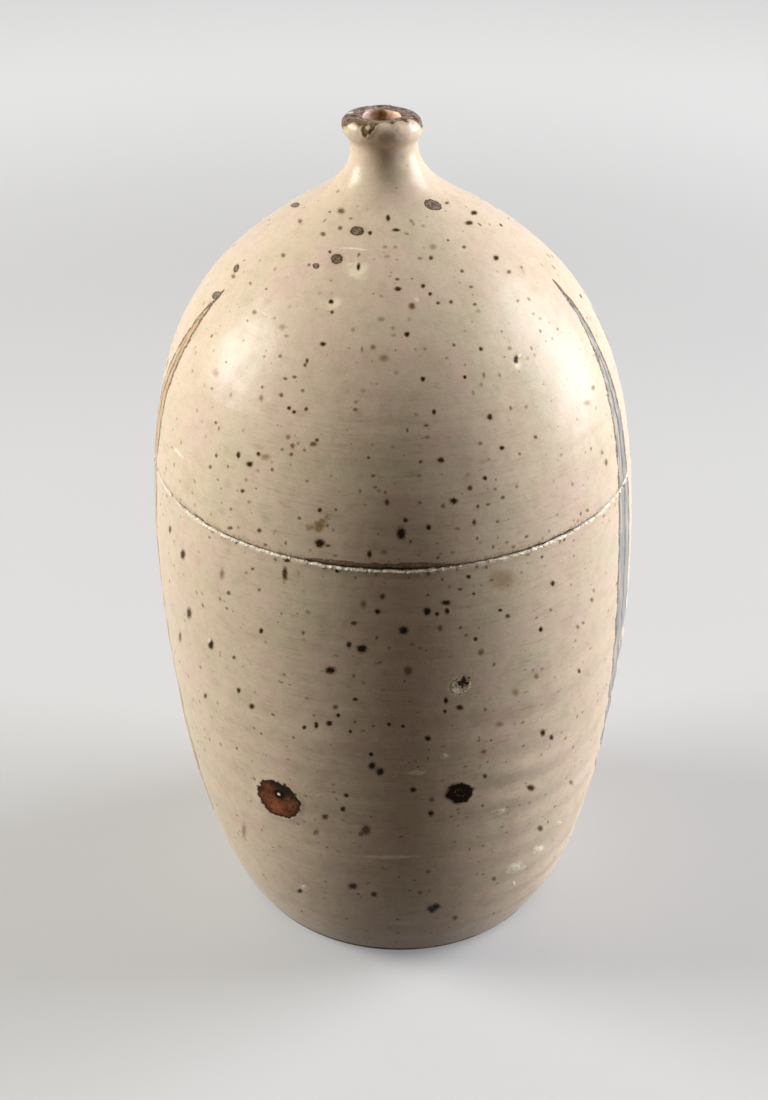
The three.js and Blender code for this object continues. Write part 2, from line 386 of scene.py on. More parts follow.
# Dabs of the smear: place in its own half sizes, and how much nearer each counts
SMEAR_DABS = (
    (0.62, 0.62, 0.24),
    (0.34, 0.26, 0.20),
    (0.0, -0.15, 0.26),
    (-0.10, -0.58, 0.26),
    (-0.62, -0.45, 0.17),
)

# Glaze edges at the seam and the heel: widths of the bare clay, and their relief, in millimetres
SEAT_GAP = 1.0
SEAT_GAP_FRONT = 0.30
HEEL_GAP = 1.3
LID_GAP = 0.28
LID_GAP_FRONT = 0.95
SEAM_BEAD = 0.13
SEAM_CRUMB_DEPTH = 0.17
SEAM_CHIP_DEPTH = 0.22

# Strips in front with wider bare clay: degrees over which each begins, and over which it ends
SEAT_STRIP = ((-20, -15), (14, 9))
LID_STRIP = ((-21, -13), (16, 6))

# Stored distances: the number for far away, and where the millimetres to the glaze edge are cut off
FAR = 9.0
EDGE_LIMIT = 2.0

# Edge of the mouth: its round, and how far it lies below the crest
MOUTH_ROUND = 0.7
MOUTH_DIP = 0.12

# Glaze edge at the lip, in millimetres along the outline from the widest point, and the drip's island
LIP_EDGE_SIDE = -0.15
LIP_EDGE_FRONT = 2.95
LIP_LEFT_DROP = 1.1
LIP_DRIP_DROP = 1.0
LIP_SCALLOP = 0.25
LIP_LOBE = 0.8
LIP_ISLAND_PLACE = 1.6
LIP_ISLAND_RADIUS = 0.68
BORE_GLAZE_START = 6.0
# Width of a lobe, and where the lobes and the island lie, in degrees from the front
LIP_LOBE_ANGLE = 26
LIP_LOBE_START = -7
LIP_ISLAND_ANGLE = -19
# Strokes of the drip, each from one place to another: millimetres east of the island, and along the outline
LIP_DRIP_WIDTH = 0.34
LIP_DRIPS = {
    "left_leg": ((-1.25, 3.0), (-0.95, 1.1)),
    "right_leg": ((1.00, 3.0), (0.85, 1.5)),
    "below_island": ((-0.95, 1.1), (0.40, 0.80)),
    "tail": ((-0.60, 0.9), (-0.70, 0.35)),
}
# Relief of the lip in millimetres: its raised front, the glaze, and the glaze's rolled edge
LIP_FRONT_RISE = 0.5
LIP_GLAZE_THICKNESS = 0.12
LIP_GLAZE_ROLL = 0.07
# Pits and painted highlights on top of the lip: place and radius in metres, and colour
LIP_DOTS = (
    ((0.0031, -0.0016, 0.2040), 0.0013, (0.060, 0.020, 0.016)),
    ((0.0027, -0.0018, 0.2040), 0.0006, (0.75, 0.62, 0.56)),
    ((-0.0097, -0.0008, 0.2038), 0.0011, (0.050, 0.026, 0.012)),
    ((-0.0104, 0.0018, 0.2038), 0.0009, (0.78, 0.70, 0.62)),
)

# Brush leaves on the two sides: kind, foot and tip as (angle, height), half width and bow in millimetres
LEAVES = {
    "right_front": ("blue", (76, 38), (75, 171), 5.0, -5.0),
    "right_middle": ("ochre", (86, 34), (92, 160), 5.0, -1.0),
    "right_back": ("blue", (94, 34), (116, 138), 5.0, 5.0),
    "right_low": ("ochre", (102, 34), (134, 96), 4.5, 6.0),
    "left_front": ("ochre", (-66, 30), (-70, 169), 6.5, -15.0),
    "left_middle": ("blue", (-74, 30), (-98, 154), 5.0, -10.0),
    "left_back": ("ochre", (-84, 31), (-122, 122), 5.0, -8.0),
    "left_low": ("blue", (-94, 32), (-138, 82), 4.5, -6.0),
}

# Colours, linear. A shade is multiplied with what lies under it
CREAM = (0.785, 0.64, 0.48)
BLUSH = (0.80, 0.62, 0.495)
STRAW = (0.735, 0.635, 0.455)
CLOUD_SHADE = (0.84, 0.81, 0.76)
BRUSH_SHADE = (0.86, 0.83, 0.78)
BRUSH_PALE = (0.93, 0.83, 0.68)
PATCH_SHADE = (0.86, 0.84, 0.79)
GRAIN_SHADE = (0.72, 0.67, 0.60)
# Pale cream, also used for painted highlights (glints)
PALE = (0.98, 0.91, 0.76)
# Cream of the scratches and glints: partly their own colour, partly painted highlight
SCAR_HIGHLIGHT = (0.98, 0.87, 0.66)
PIT = (0.98, 0.86, 0.62)
SPOT_SHADE = (0.68, 0.56, 0.40)
IRON_DARK = (0.018, 0.008, 0.004)
IRON_BROWN = (0.125, 0.066, 0.024)
IRON_SOFT = (0.22, 0.145, 0.07)
OLIVE = (0.27, 0.19, 0.07)
RUST = (0.20, 0.065, 0.025)
RUST_DEEP = (0.12, 0.038, 0.016)
RUST_GLOW = (0.36, 0.10, 0.035)
RUST_CRUST = (0.030, 0.022, 0.015)
RUST_RIM = (0.045, 0.018, 0.010)
# Painted highlight: dull glints on the slag blotch
SLAG_GLINT = (0.14, 0.115, 0.09)
MOTTLE_DARK = (0.10, 0.062, 0.030)
MOTTLE_PALE = (0.25, 0.18, 0.105)
MOTTLE_RIM = (0.042, 0.024, 0.012)
MOTTLE_SHADE = (0.60, 0.50, 0.38)
CHIP = (0.74, 0.60, 0.42)
CHIP_EDGE = (0.96, 0.83, 0.60)
CHIP_CRUMB = (0.050, 0.028, 0.014)
SMEAR = (0.30, 0.165, 0.05)
BRUISE_DARK = (0.13, 0.085, 0.065)
BRUISE_PALE = (0.29, 0.205, 0.165)
BRUISE_RIM = (0.045, 0.026, 0.016)
CLAY = (0.36, 0.245, 0.155)
CLAY_DARK = (0.27, 0.17, 0.10)
GROG_PALE = (0.52, 0.40, 0.28)
GROG_DARK = (0.09, 0.055, 0.035)
LIP_IRON = (0.13, 0.070, 0.050)
LIP_PINK = (0.30, 0.205, 0.19)
LIP_BROWN = (0.175, 0.098, 0.036)
LIP_BLACK = (0.050, 0.025, 0.016)
# Pale specks on the lip: partly grit, partly painted glints
LIP_GRIT_AND_GLINT = (0.60, 0.50, 0.43)
THIN_GLAZE = (0.42, 0.29, 0.13)
THINNEST_GLAZE = (0.20, 0.115, 0.055)
# Painted shadow: a dark line along the glaze's edges
GLAZE_EDGE_SHADOW = (0.055, 0.030, 0.018)
# Darkening of the lid's glaze towards its lower edge
LID_EDGE_DARKENING = (0.42, 0.34, 0.22)
BORE_GLAZE = (0.92, 0.66, 0.48)
BORE_PINK = (0.72, 0.54, 0.46)
BORE_BROWN = (0.35, 0.22, 0.10)
OCHRE = (0.50, 0.29, 0.10)
BLUE_GREY = (0.17, 0.215, 0.25)
OUTLINE = (0.10, 0.062, 0.035)

# Layers of fine specks: cell, seed, smallest and largest radius in millimetres, and share left out
FINE_SPECKS = ((1.7, 6, 0.16, 0.42, 0.45), (3.1, 7, 0.28, 0.75, 0.40))

# Named spots: how near in pixels a point of the skin must show, and how much larger than its core each is
PIXEL_REACH = 6
SPOT_GAIN = 1.12
# How far the field of a spot or a mark reaches, in its own radii
SPOT_MARGIN = 1.6
MARK_MARGIN = 1.45

# Random spots: seed, how many, their middle, smallest and largest radius in millimetres, and spread
SEED = 11
JAR_SPOT_COUNT = 520
LID_SPOT_COUNT = 330
SPOT_RADIUS = 0.44
SPOT_SMALLEST = 0.24
SPOT_LARGEST = 1.4
SPOT_SPREAD = 0.38
# Where the photograph shows the wall, in degrees from the front: smaller ones, clear of the named spots
SHOWN_DEGREES = 78
SHOWN_LARGEST = 0.46
SHOWN_CLEARANCE = 2.2

# Finger ridges of the throwing on the lower wall, deeper on the right, and heights where they fade
RIDGE_PITCH = 9.4
RIDGE_DEPTH = 0.23
RIDGE_TOP = 104
RIDGE_FULL = 78

# Fields stored on the skins: layers for spots that lie close together, and kinds of marks
LAYERS = ("spots_a", "spots_b", "spots_c", "spots_d")
MARK_KINDS = ("rust", "slag", "chip", "scar", "glint", "pit", "halo", "mottle", "smear", "bruise")


def point(radius, height):
    return np.array([radius, height], float)


def smooth(value, low, high):
    share = np.clip((value - low) / (high - low), 0, 1)
    return share * share * (3 - 2 * share)


def hashed(cells, seed):
    """A repeatable number from 0 to 1 for each cell of a lattice."""
    n = cells[:, 0] * 73856093 ^ cells[:, 1] * 19349663 ^ cells[:, 2] * 83492791 ^ seed * 50331653
    n = (n & 0xFFFFFFFF) * 1274126177 & 0xFFFFFFFF
    n = (n ^ n >> 15) * 1103515245 & 0xFFFFFFFF
    return (n >> 8 & 0xFFFF) / 65535


def noise(places, cell, seed):
    """Smooth noise from -1 to 1 with a cell in millimetres, one number or one for each axis."""
    grid = places / cell
    base = np.floor(grid).astype(np.int64)
    part = grid - base
    part = part * part * (3 - 2 * part)
    total = np.zeros(len(places))
    for corner in range(8):
        step = np.array([corner & 1, corner >> 1 & 1, corner >> 2 & 1])
        weight = np.where(step, part, 1 - part).prod(axis=1)
        total += weight * hashed(base + step, seed)
    return 2 * total - 1


def stroke_distance(across, along, stroke):
    """Distance of points from the straight line between a stroke's two ends."""
    start, end = np.array(stroke)
    reach = end - start
    share = ((across - start[0]) * reach[0] + (along - start[1]) * reach[1]) / (reach @ reach)
    share = share.clip(0, 1)
    return np.hypot(across - start[0] - share * reach[0], along - start[1] - share * reach[1])


class Curve:
    """A cubic curve in the plane of radius and height."""

    def __init__(self, *corners):
        self.corners = [np.asarray(c, float) for c in corners]

    def at(self, t):
        a, b, c, d = self.corners
        t = np.asarray(t, float)[..., None]
        return (1 - t) ** 3 * a + 3 * (1 - t) ** 2 * t * b + 3 * (1 - t) * t**2 * c + t**3 * d

    def way(self, t):
        a, b, c, d = self.corners
        t = np.asarray(t, float)[..., None]
        v = (1 - t) ** 2 * (b - a) + 2 * (1 - t) * t * (c - b) + t**2 * (d - c)
        return v / np.linalg.norm(v, axis=-1, keepdims=True)

    def share_at(self, height):
        t = np.linspace(0, 1, 4001)
        return float(np.interp(height, self.at(t)[:, 1], t))

    def along(self, start, end, step, depth=0.0):
        """Points from one share to another, moved into the wall by a depth."""
        rough = self.at(np.linspace(start, end, 200))
        length = np.linalg.norm(np.diff(rough, axis=0), axis=1).cumsum()
        count = max(3, round(length[-1] / step))
        stops = np.interp(np.linspace(0, length[-1], count), [0, *length], np.linspace(start, end, 200))
        way = self.way(stops)
        return self.at(stops) + depth * np.stack([-way[:, 1], way[:, 0]], axis=1)


def line(step, *corners):
    """Points along straight stretches, a step apart."""
    points = []
    for a, b in zip(corners[:-1], corners[1:]):
        n = max(1, round(float(np.linalg.norm(np.subtract(b, a))) / step))
        points += [point(*np.add(a, np.subtract(b, a) * i / n)) for i in range(n)]
    return np.array(points + [point(*corners[-1])])


def quarter(start, end, upright, steps=7):
    """A quarter round that leaves its start upright, or level."""
    angle = np.linspace(0, math.pi / 2, steps)
    centre = point(end[0], start[1]) if upright else point(start[0], end[1])
    a = np.cos(angle) if upright else np.sin(angle)
    b = np.sin(angle) if upright else np.cos(angle)
    across = (start[0] if upright else end[0]) - centre[0]
    up = (end[1] if upright else start[1]) - centre[1]
    return np.stack([centre[0] + across * a, centre[1] + up * b], axis=1)


def blend(start, end, pull_start, pull_end, step):
    """Points on a curve that leaves and arrives upright."""
    first, last = start + point(0, pull_start), end - point(0, pull_end)
    return Curve(start, first, last, end).along(0, 1, step)


shoulder_way = point(-math.cos(SHOULDER_SLOPE), math.sin(SHOULDER_SLOPE))
neck_foot = point(NECK_FOOT_RADIUS, NECK_FOOT_HEIGHT)
lower_wall = Curve(
    point(HEEL_RADIUS, HEEL_HEIGHT),
    point(HEEL_RADIUS + HEEL_PULL[0], HEEL_HEIGHT + HEEL_PULL[1]),
    point(BELLY_RADIUS, BELLY_HEIGHT - BELLY_PULL_DOWN),
    point(BELLY_RADIUS, BELLY_HEIGHT),
)
upper_wall = Curve(
    point(BELLY_RADIUS, BELLY_HEIGHT),
    point(BELLY_RADIUS, BELLY_HEIGHT + BELLY_PULL_UP),
    neck_foot - SHOULDER_PULL * shoulder_way,
    neck_foot,
)
collar_outer = upper_wall.at(upper_wall.share_at(SEAT_HEIGHT))[0] - SEAT_WIDTH
collar_inner = collar_outer - COLLAR_THICKNESS
collar_top = SEAT_HEIGHT + COLLAR_HEIGHT


def jar_bands():
    """Outline of the jar body, from the axis under the foot round to the axis on the floor."""
    inner = FOOT_RADIUS - FOOT_WIDTH
    band_share = upper_wall.share_at(SEAT_HEIGHT - EDGE_BAND)
    edge_share = upper_wall.share_at(SEAT_HEIGHT - JAR_EDGE_ROUND)
    edge = upper_wall.at(edge_share)
    upper = upper_wall.along(upper_wall.share_at(SEAT_HEIGHT - COLLAR_BLEND), 0, INSIDE_STEP, JAR_WALL)
    lower = lower_wall.along(1, lower_wall.share_at(FLOOR_HEIGHT + FLOOR_ROUND), INSIDE_STEP, JAR_WALL)
    corner = lower[-1]
    heel = quarter((HEEL_RADIUS - HEEL_ROUND, FOOT_STEP), (HEEL_RADIUS, HEEL_HEIGHT), False)
    collar = point(collar_outer, collar_top - COLLAR_ROUND)
    mouth = point(collar_inner, collar_top - COLLAR_ROUND)
    pull = -COLLAR_BLEND / 2
    return [
        ("under", NECK_SIDES, [
            line(3, (0, RECESS_DEPTH), (inner - RECESS_DRAFT, RECESS_DEPTH)),
            line(0.8, (inner - RECESS_DRAFT, RECESS_DEPTH), (inner, FOOT_BEVEL), (inner + FOOT_BEVEL, 0)),
            line(0.8, (FOOT_RADIUS - FOOT_BEVEL, 0), (FOOT_RADIUS, FOOT_BEVEL), (FOOT_RADIUS, FOOT_STEP)),
            heel[:1],
        ]),
        ("wall", WALL_SIDES, [
            heel[1:],
            lower_wall.along(0, 1, WALL_STEP),
            upper_wall.along(0, band_share, WALL_STEP),
        ]),
        ("wall", EDGE_SIDES, [
            upper_wall.along(band_share, edge_share, EDGE_STEP)[1:],
            quarter(edge, edge + point(-JAR_EDGE_ROUND, JAR_EDGE_ROUND), True)[1:],
        ]),
        ("seat", NECK_SIDES, [
            line(0.9, (edge[0] - 2 * JAR_EDGE_ROUND, SEAT_HEIGHT), (collar_outer, SEAT_HEIGHT), collar),
            quarter(collar, collar + point(-COLLAR_ROUND, COLLAR_ROUND), True),
            quarter((collar_inner + COLLAR_ROUND, collar_top), mouth, False),
        ]),
        ("inside", INSIDE_SIDES, [
            blend(mouth - point(0, COLLAR_HEIGHT), upper[0], pull, pull, INSIDE_STEP),
            upper,
            lower,
            quarter(corner, (corner[0] - FLOOR_ROUND, FLOOR_HEIGHT), True),
            line(4, (corner[0] - FLOOR_ROUND, FLOOR_HEIGHT), (0, FLOOR_HEIGHT)),
        ]),
    ]


def lid_bands():
    """Outline of the lid, from its lower rim over the dome, lip and bore, and back inside."""
    ledge = LID_HEIGHT + COLLAR_HEIGHT + COLLAR_HEADROOM
    band_share = upper_wall.share_at(LID_HEIGHT + EDGE_BAND)
    edge_share = upper_wall.share_at(LID_HEIGHT + LID_EDGE_ROUND)
    edge = upper_wall.at(edge_share)
    dome_inside = upper_wall.along(1, upper_wall.share_at(ledge), INSIDE_STEP, LID_WALL)
    recess = collar_outer + COLLAR_CLEARANCE
    neck_end = point(NECK_RADIUS, NECK_HEIGHT)
    neck_pull = neck_end - point(0, NECK_PULL_DOWN)
    neck = Curve(neck_foot, neck_foot + NECK_FOOT_PULL * shoulder_way, neck_pull, neck_end)
    throat = Curve(
        point(BORE_RADIUS, NECK_FOOT_HEIGHT + NECK_FOOT_PULL),
        point(BORE_RADIUS, NECK_FOOT_HEIGHT),
        dome_inside[0] + NECK_FOOT_PULL * shoulder_way,
        dome_inside[0],
    )
    flare = LIP_FLARE_HEIGHT / 2
    bore_top = point(BORE_RADIUS, CREST_HEIGHT - LIP_ROUND_INSIDE)
    bore_shown = bore_top - point(0, LIP_FLARE_HEIGHT)
    mouth_edge = point(BORE_RADIUS + MOUTH_ROUND, CREST_HEIGHT - MOUTH_DIP)
    mouth = mouth_edge - point(MOUTH_ROUND, 1.3 * MOUTH_ROUND)
    rim = point(edge[0] - LID_EDGE_ROUND, LID_HEIGHT)
    return [
        ("seat", NECK_SIDES, [line(0.9, (recess, LID_HEIGHT), rim)]),
        ("wall", EDGE_SIDES, [
            quarter(rim, edge, False)[1:],
            upper_wall.along(edge_share, band_share, EDGE_STEP)[1:],
        ]),
        ("wall", WALL_SIDES, [upper_wall.along(band_share, 1, WALL_STEP)[1:]]),
        ("neck", NECK_SIDES, [neck.along(0, 1, NECK_STEP)[1:]]),
        ("lip", NECK_SIDES, [
            blend(neck_end, point(LIP_RADIUS, LIP_HEIGHT), flare, flare, LIP_STEP),
            quarter((LIP_RADIUS, LIP_HEIGHT), (CREST_RADIUS, CREST_HEIGHT), True, 16),
            line(LIP_STEP, (CREST_RADIUS, CREST_HEIGHT), mouth_edge),
            quarter(mouth_edge, mouth, False, 10),
            line(LIP_STEP, mouth, bore_top, bore_shown),
        ]),
        ("inside", INSIDE_SIDES, [
            line(1, bore_shown, throat.corners[0])[1:],
            throat.along(0, 1, INSIDE_STEP),
            dome_inside,
        ]),
        ("recess", INSIDE_SIDES, [line(1, (recess, dome_inside[-1][1]), (recess, LID_HEIGHT))]),
    ]


def lean_at(height):
    """How far the axis has moved to +X at a height, in millimetres."""
    start = NECK_FOOT_HEIGHT - NECK_SHIFT_START
    share = np.maximum(0, height - start) / (CREST_HEIGHT - start)
    return LEAN * (BELLY_HEIGHT - height) - NECK_SHIFT * share**2


def seen_at(places):
    """Pixels of the photograph where points of the pot show."""
    away = places - np.array(CAMERA_PLACE)
    depth = away @ np.array(FORWARD)
    right = IMAGE_WIDTH / 2 + FOCAL_PIXELS * (away @ np.array(SIDE)) / depth
    down = IMAGE_HEIGHT / 2 - FOCAL_PIXELS * (away @ np.array(TOP)) / depth
    return np.stack([right, down], axis=-1)


def pixel_shape(scale, width, height, turn):
    """Takes millimetres east and north on the wall to the radii of an ellipse seen in pixels."""
    cos, sin = math.cos(turn), math.sin(turn)
    turned = np.array([[cos, -sin], [-sin, -cos]]) @ scale
    return turned / np.array([[width / 2], [height / 2]])


class Skin:
    """A turned surface. Its rings may differ in how many points they have, by a whole ratio.

    Its bare is millimetres past the glaze edge, above zero on clay. Its seam is millimetres from the joint,
    above zero on the jar and below zero on the lid.
    """

    def __init__(self, bands, closed):
        rings, self.sides, part = [], [], []
        for name, sides, pieces in bands:
            for place in np.concatenate(pieces):
                if rings and np.linalg.norm(place - rings[-1]) < 1e-4:
                    continue
                rings.append(place)
                self.sides.append(sides)
                part.append(name)
        if closed and np.linalg.norm(rings[0] - rings[-1]) < 1e-4:
            del rings[-1], self.sides[-1], part[-1]
        rings = np.array(rings)
        before = np.roll(rings, 1, axis=0) if closed else rings[[0, *range(len(rings) - 1)]]
        after = np.roll(rings, -1, axis=0) if closed else rings[[*range(1, len(rings)), -1]]
        way = (after - before) / np.linalg.norm(after - before, axis=1, keepdims=True)
        length = np.concatenate([[0], np.linalg.norm(np.diff(rings, axis=0), axis=1).cumsum()])
        if not closed:
            self.sides[0] = self.sides[-1] = 1
        self.start = np.concatenate([[0], np.cumsum(self.sides)])
        ring = np.repeat(np.arange(len(rings)), self.sides)
        turn = np.concatenate([np.arange(n) / n for n in self.sides]) * 2 * math.pi
        self.angle = turn - FRONT_SHARE * np.sin(turn)
        self.radius, self.height = rings[ring].T
        self.length = length[ring]
        self.part = np.array(part)[ring]
        sin, cos = np.sin(self.angle), np.cos(self.angle)
        out, up = way[ring].T
        self.normal = np.stack([up * sin, -up * cos, -out], axis=1)
        self.north = np.stack([out * sin, -out * cos, up], axis=1)
        self.east = np.stack([cos, sin, 0 * sin], axis=1)
        across = lean_at(self.height) + self.radius * sin
        self.place = np.stack([across, -self.radius * cos, self.height], axis=1)
        self.pixels = seen_at(self.place)
        self.faces = []
        for low in range(len(rings) - (0 if closed else 1)):
            self.faces += self.strip(low, (low + 1) % len(rings))
        self.degrees = np.degrees((self.angle + math.pi) % (2 * math.pi) - math.pi)
        self.relief = np.zeros(len(ring))
        self.bare = np.where(np.isin(self.part, ("under", "seat", "recess")), EDGE_LIMIT, -EDGE_LIMIT)
        self.seam = np.full(len(ring), FAR)
        self.fields = {}

    def strip(self, low, high):
        """Faces from one ring to the next, in fans where the next has more or fewer points."""
        a, n = self.start[low], self.sides[low]
        b, m = self.start[high], self.sides[high]
        if n == m:
            j = np.arange(n)
            k = (j + 1) % n
            return np.stack([a + j, a + k, b + k, b + j], axis=1).tolist()
        fine, coarse = max(n, m), min(n, m)
        f, c = (a, b) if n > m else (b, a)
        ratio = fine // coarse
        faces = []
        for s in range(coarse):
            corners = (s, (s + 1) % coarse)
            first, middle = s * ratio, s * ratio + ratio // 2
            for t in range(first, first + ratio):
                faces.append([f + t, f + (t + 1) % fine, c + corners[t >= middle and coarse > 1]])
            if coarse > 1:
                faces.append([f + middle, c + corners[1], c + corners[0]])
        return faces if n > m else [face[::-1] for face in faces]

    def locate(self, pixel):
        """What shows at a pixel: the nearest point, the place on the wall, and pixels for a millimetre."""
        towards = np.array(CAMERA_PLACE) - self.place
        faces_camera = (self.normal * towards).sum(axis=1) > 0
        shown = faces_camera & np.isin(self.part, ("wall", "neck"))
        gap = np.linalg.norm(self.pixels - pixel, axis=1) + 1e6 * ~shown
        i = int(gap.argmin())
        if gap[i] > PIXEL_REACH:
            return None
        near = self.place[i] + np.stack([self.east[i], self.north[i]])
        scale = (seen_at(near) - self.pixels[i]).T
        shift = np.linalg.solve(scale, pixel - self.pixels[i])
        place = self.place[i] + shift[0] * self.east[i] + shift[1] * self.north[i]
        return i, place, scale

    def field(self, name, i, place, shape, level, margin):
        """Writes a spot's own coordinates on the points round it. False if the field is taken there."""
        field = self.fields.setdefault(name, np.zeros((len(self.place), 4), np.float32))
        away = self.place - place
        reach = margin * np.linalg.norm(np.linalg.inv(shape), 2) + 0.9
        zone = (np.abs(away) < reach + 0.9).all(axis=1)
        zone[zone] = np.linalg.norm(away[zone], axis=1) < reach + 0.8
        if (field[zone, 2] > 0).any():
            return False
        zone[zone] = np.linalg.norm(away[zone], axis=1) < reach
        field[zone, :2] = away[zone] @ np.stack([self.east[i], self.north[i]]).T @ shape.T
        field[zone, 2] = 1
        field[zone, 3] = level
        return True

    def spot(self, i, place, shape, darkness):
        """Writes a spot on the first layer that is free there. False if none is."""
        return any(self.field(name, i, place, shape, darkness, SPOT_MARGIN) for name in LAYERS)

    def named_spots(self, spots):
        """Writes the photograph's own spots that show on this skin."""
        self.named = []
        for x, y, width, height, darkness in spots.values():
            found = self.locate((x, y))
            if found:
                i, place, scale = found
                shape = pixel_shape(scale, SPOT_GAIN * width, SPOT_GAIN * height, 0)
                self.spot(i, place, shape, darkness)
                self.named.append(place)

    def scattered_spots(self, rng, count):
        """Spots all round, small where the photograph's own spots are."""
        wall = np.flatnonzero((self.part == "wall") & (self.bare < -1))
        share = self.radius[wall]
        picks = rng.choice(wall, count, p=share / share.sum())
        sizes = np.exp(rng.normal(math.log(SPOT_RADIUS), SPOT_SPREAD, count))
        sizes = sizes.clip(SPOT_SMALLEST, SPOT_LARGEST)
        shapes = rng.uniform(0.75, 1.3, count)
        levels = rng.uniform(0.15, 1.1, count).clip(0, 1)
        shown = np.abs(self.degrees[picks]) < SHOWN_DEGREES
        for i, size, shape, level, front in zip(picks, sizes, shapes, levels, shown):
            place = self.place[i]
            if front:
                size = min(size, SHOWN_LARGEST) * 0.9
                level *= 0.7
                if min(np.linalg.norm(place - other) for other in self.named) < SHOWN_CLEARANCE:
                    continue
            self.spot(int(i), place, np.diag([1 / (size * shape), shape / size]), level)

    def marks(self):
        """Writes the photograph's marks that show on this skin, and adds their relief."""
        for kind, x, y, width, height, turn in MARKS.values():
            found = self.locate((x, y))
            if not found:
                continue
            i, place, scale = found
            shape = pixel_shape(scale, width, height, math.radians(turn))
            self.field("mark_" + kind, i, place, shape, 1, MARK_MARGIN)
            here = np.linalg.norm(self.place - place, axis=1) < 15
            across = (self.place - place) @ np.stack([self.east[i], self.north[i]]).T @ shape.T
            self.relief += self.mark_relief(kind, np.where(here, np.linalg.norm(across, axis=1), FAR))

    def mark_relief(self, kind, away):
        """How far a mark stands out in millimetres, from the distance to its middle in its own radii."""
        rough = noise(self.place, 1.1, 31)
        if kind == "rust":
            rim = 0.14 * np.exp(-(((away - 1) / 0.12) ** 2))
            return (0.10 * rough - 0.16) * smooth(away, 1.0, 0.8) + rim
        if kind == "slag":
            return (0.12 + 0.06 * rough) * smooth(away, 1.05, 0.6) - 0.25 * smooth(away, 0.35, 0.1)
        if kind == "chip":
            return (0.10 * rough - 0.14) * smooth(away, 1.05, 0.4)
        if kind in ("scar", "glint"):
            return 0.05 * smooth(away, 1.3, 0.3) * (1 + rough)
        if kind in ("pit", "halo"):
            return -0.16 * smooth(away, 0.9, 0.1)
        return 0

    def thrown(self):
        """The slow unevenness and the finger rings of a thrown and brushed wall."""
        wall = np.isin(self.part, ("wall", "neck", "lip"))
        calm = smooth(self.height, 2, 14) * smooth(self.radius, 4, 40)
        rings = noise(self.place, (90, 90, 3.1), 3) + 0.6 * noise(self.place, (60, 60, 1.3), 4)
        slow = 0.28 * noise(self.place, 42, 1) + 0.13 * noise(self.place, 13, 2)
        turns = self.height / RIDGE_PITCH + 0.5 * noise(self.place, (36, 36, 16), 6)
        uneven = 0.7 + 0.6 * noise(self.place, (26, 26, 11), 9)
        ridges = RIDGE_DEPTH * np.sin(2 * math.pi * turns) * uneven
        to_the_right = smooth(np.sin(self.angle), 0.22, 0.62)
        ridges *= smooth(self.height, RIDGE_TOP, RIDGE_FULL) * (0.3 + 0.7 * to_the_right)
        self.relief += wall * calm * (slow + ridges + 0.055 * rings + 0.02 * noise(self.place, 3.5, 5))

    def leaves(self):
        """Signed distance to the nearest brush leaf, place across and along it, and its kind."""
        wall = np.concatenate([lower_wall.along(0, 1, 1), upper_wall.along(0, 1, 1)[1:]])
        arc = np.concatenate([[0], np.linalg.norm(np.diff(wall, axis=0), axis=1).cumsum()])
        around = np.radians(self.degrees) * BELLY_RADIUS
        up = np.interp(self.height, wall[:, 1], arc)
        nothing = (FAR, FAR, 0, 0)
        field = np.full((len(self.place), 4), nothing, np.float32)
        for kind, foot, tip, half, bow in LEAVES.values():
            low, high = np.interp((foot[1], tip[1]), wall[:, 1], arc)
            start = point(math.radians(foot[0]) * BELLY_RADIUS, low)
            axis = point(math.radians(tip[0]) * BELLY_RADIUS, high) - start
            length = np.linalg.norm(axis)
            axis /= length
            share = ((around - start[0]) * axis[0] + (up - start[1]) * axis[1]) / length
            inside = share.clip(0, 1)
            across = (around - start[0]) * axis[1] - (up - start[1]) * axis[0]
            across -= bow * np.sin(math.pi * inside)
            width = half * np.sin(math.pi * inside**0.8) ** 0.85
            beyond = np.abs(share - inside) * length
            distance = np.hypot(np.maximum(np.abs(across) - width, 0), beyond)
            distance = np.where(distance > 0, distance, np.abs(across) - width)
            nearer = distance < field[:, 0]
            blue = np.full_like(share, kind == "blue")
            field[nearer] = np.stack([distance, across, share * length, blue], axis=1)[nearer]
        field[~np.isin(self.part, ("wall", "neck"))] = nothing
        field[:, :2] = field[:, :2].clip(-FAR, FAR)
        self.fields["leaf"] = field

    def build(self, name, iron, warm):
        """Makes the mesh object and stores its fields on it."""
        tone = np.stack([self.bare, self.seam, iron, warm], axis=1)
        self.fields["tone"] = tone.astype(np.float32)
        mesh = bpy.data.meshes.new(name)
        verts = self.place + self.normal * self.relief[:, None]
        mesh.from_pydata((verts * MM).tolist(), [], self.faces)
        mesh.shade_smooth()
        mesh.attributes.new("way", "FLOAT", "POINT").data.foreach_set("value", self.length * MM)
        for key in ("leaf", "tone", *LAYERS, *("mark_" + kind for kind in MARK_KINDS)):
            values = self.fields.get(key, np.zeros((len(verts), 4), np.float32))
            mesh.attributes.new(key, "FLOAT_COLOR", "POINT").data.foreach_set("color", values.ravel())
        obj = bpy.data.objects.new(name, mesh)
        bpy.context.scene.collection.objects.link(obj)
        return obj


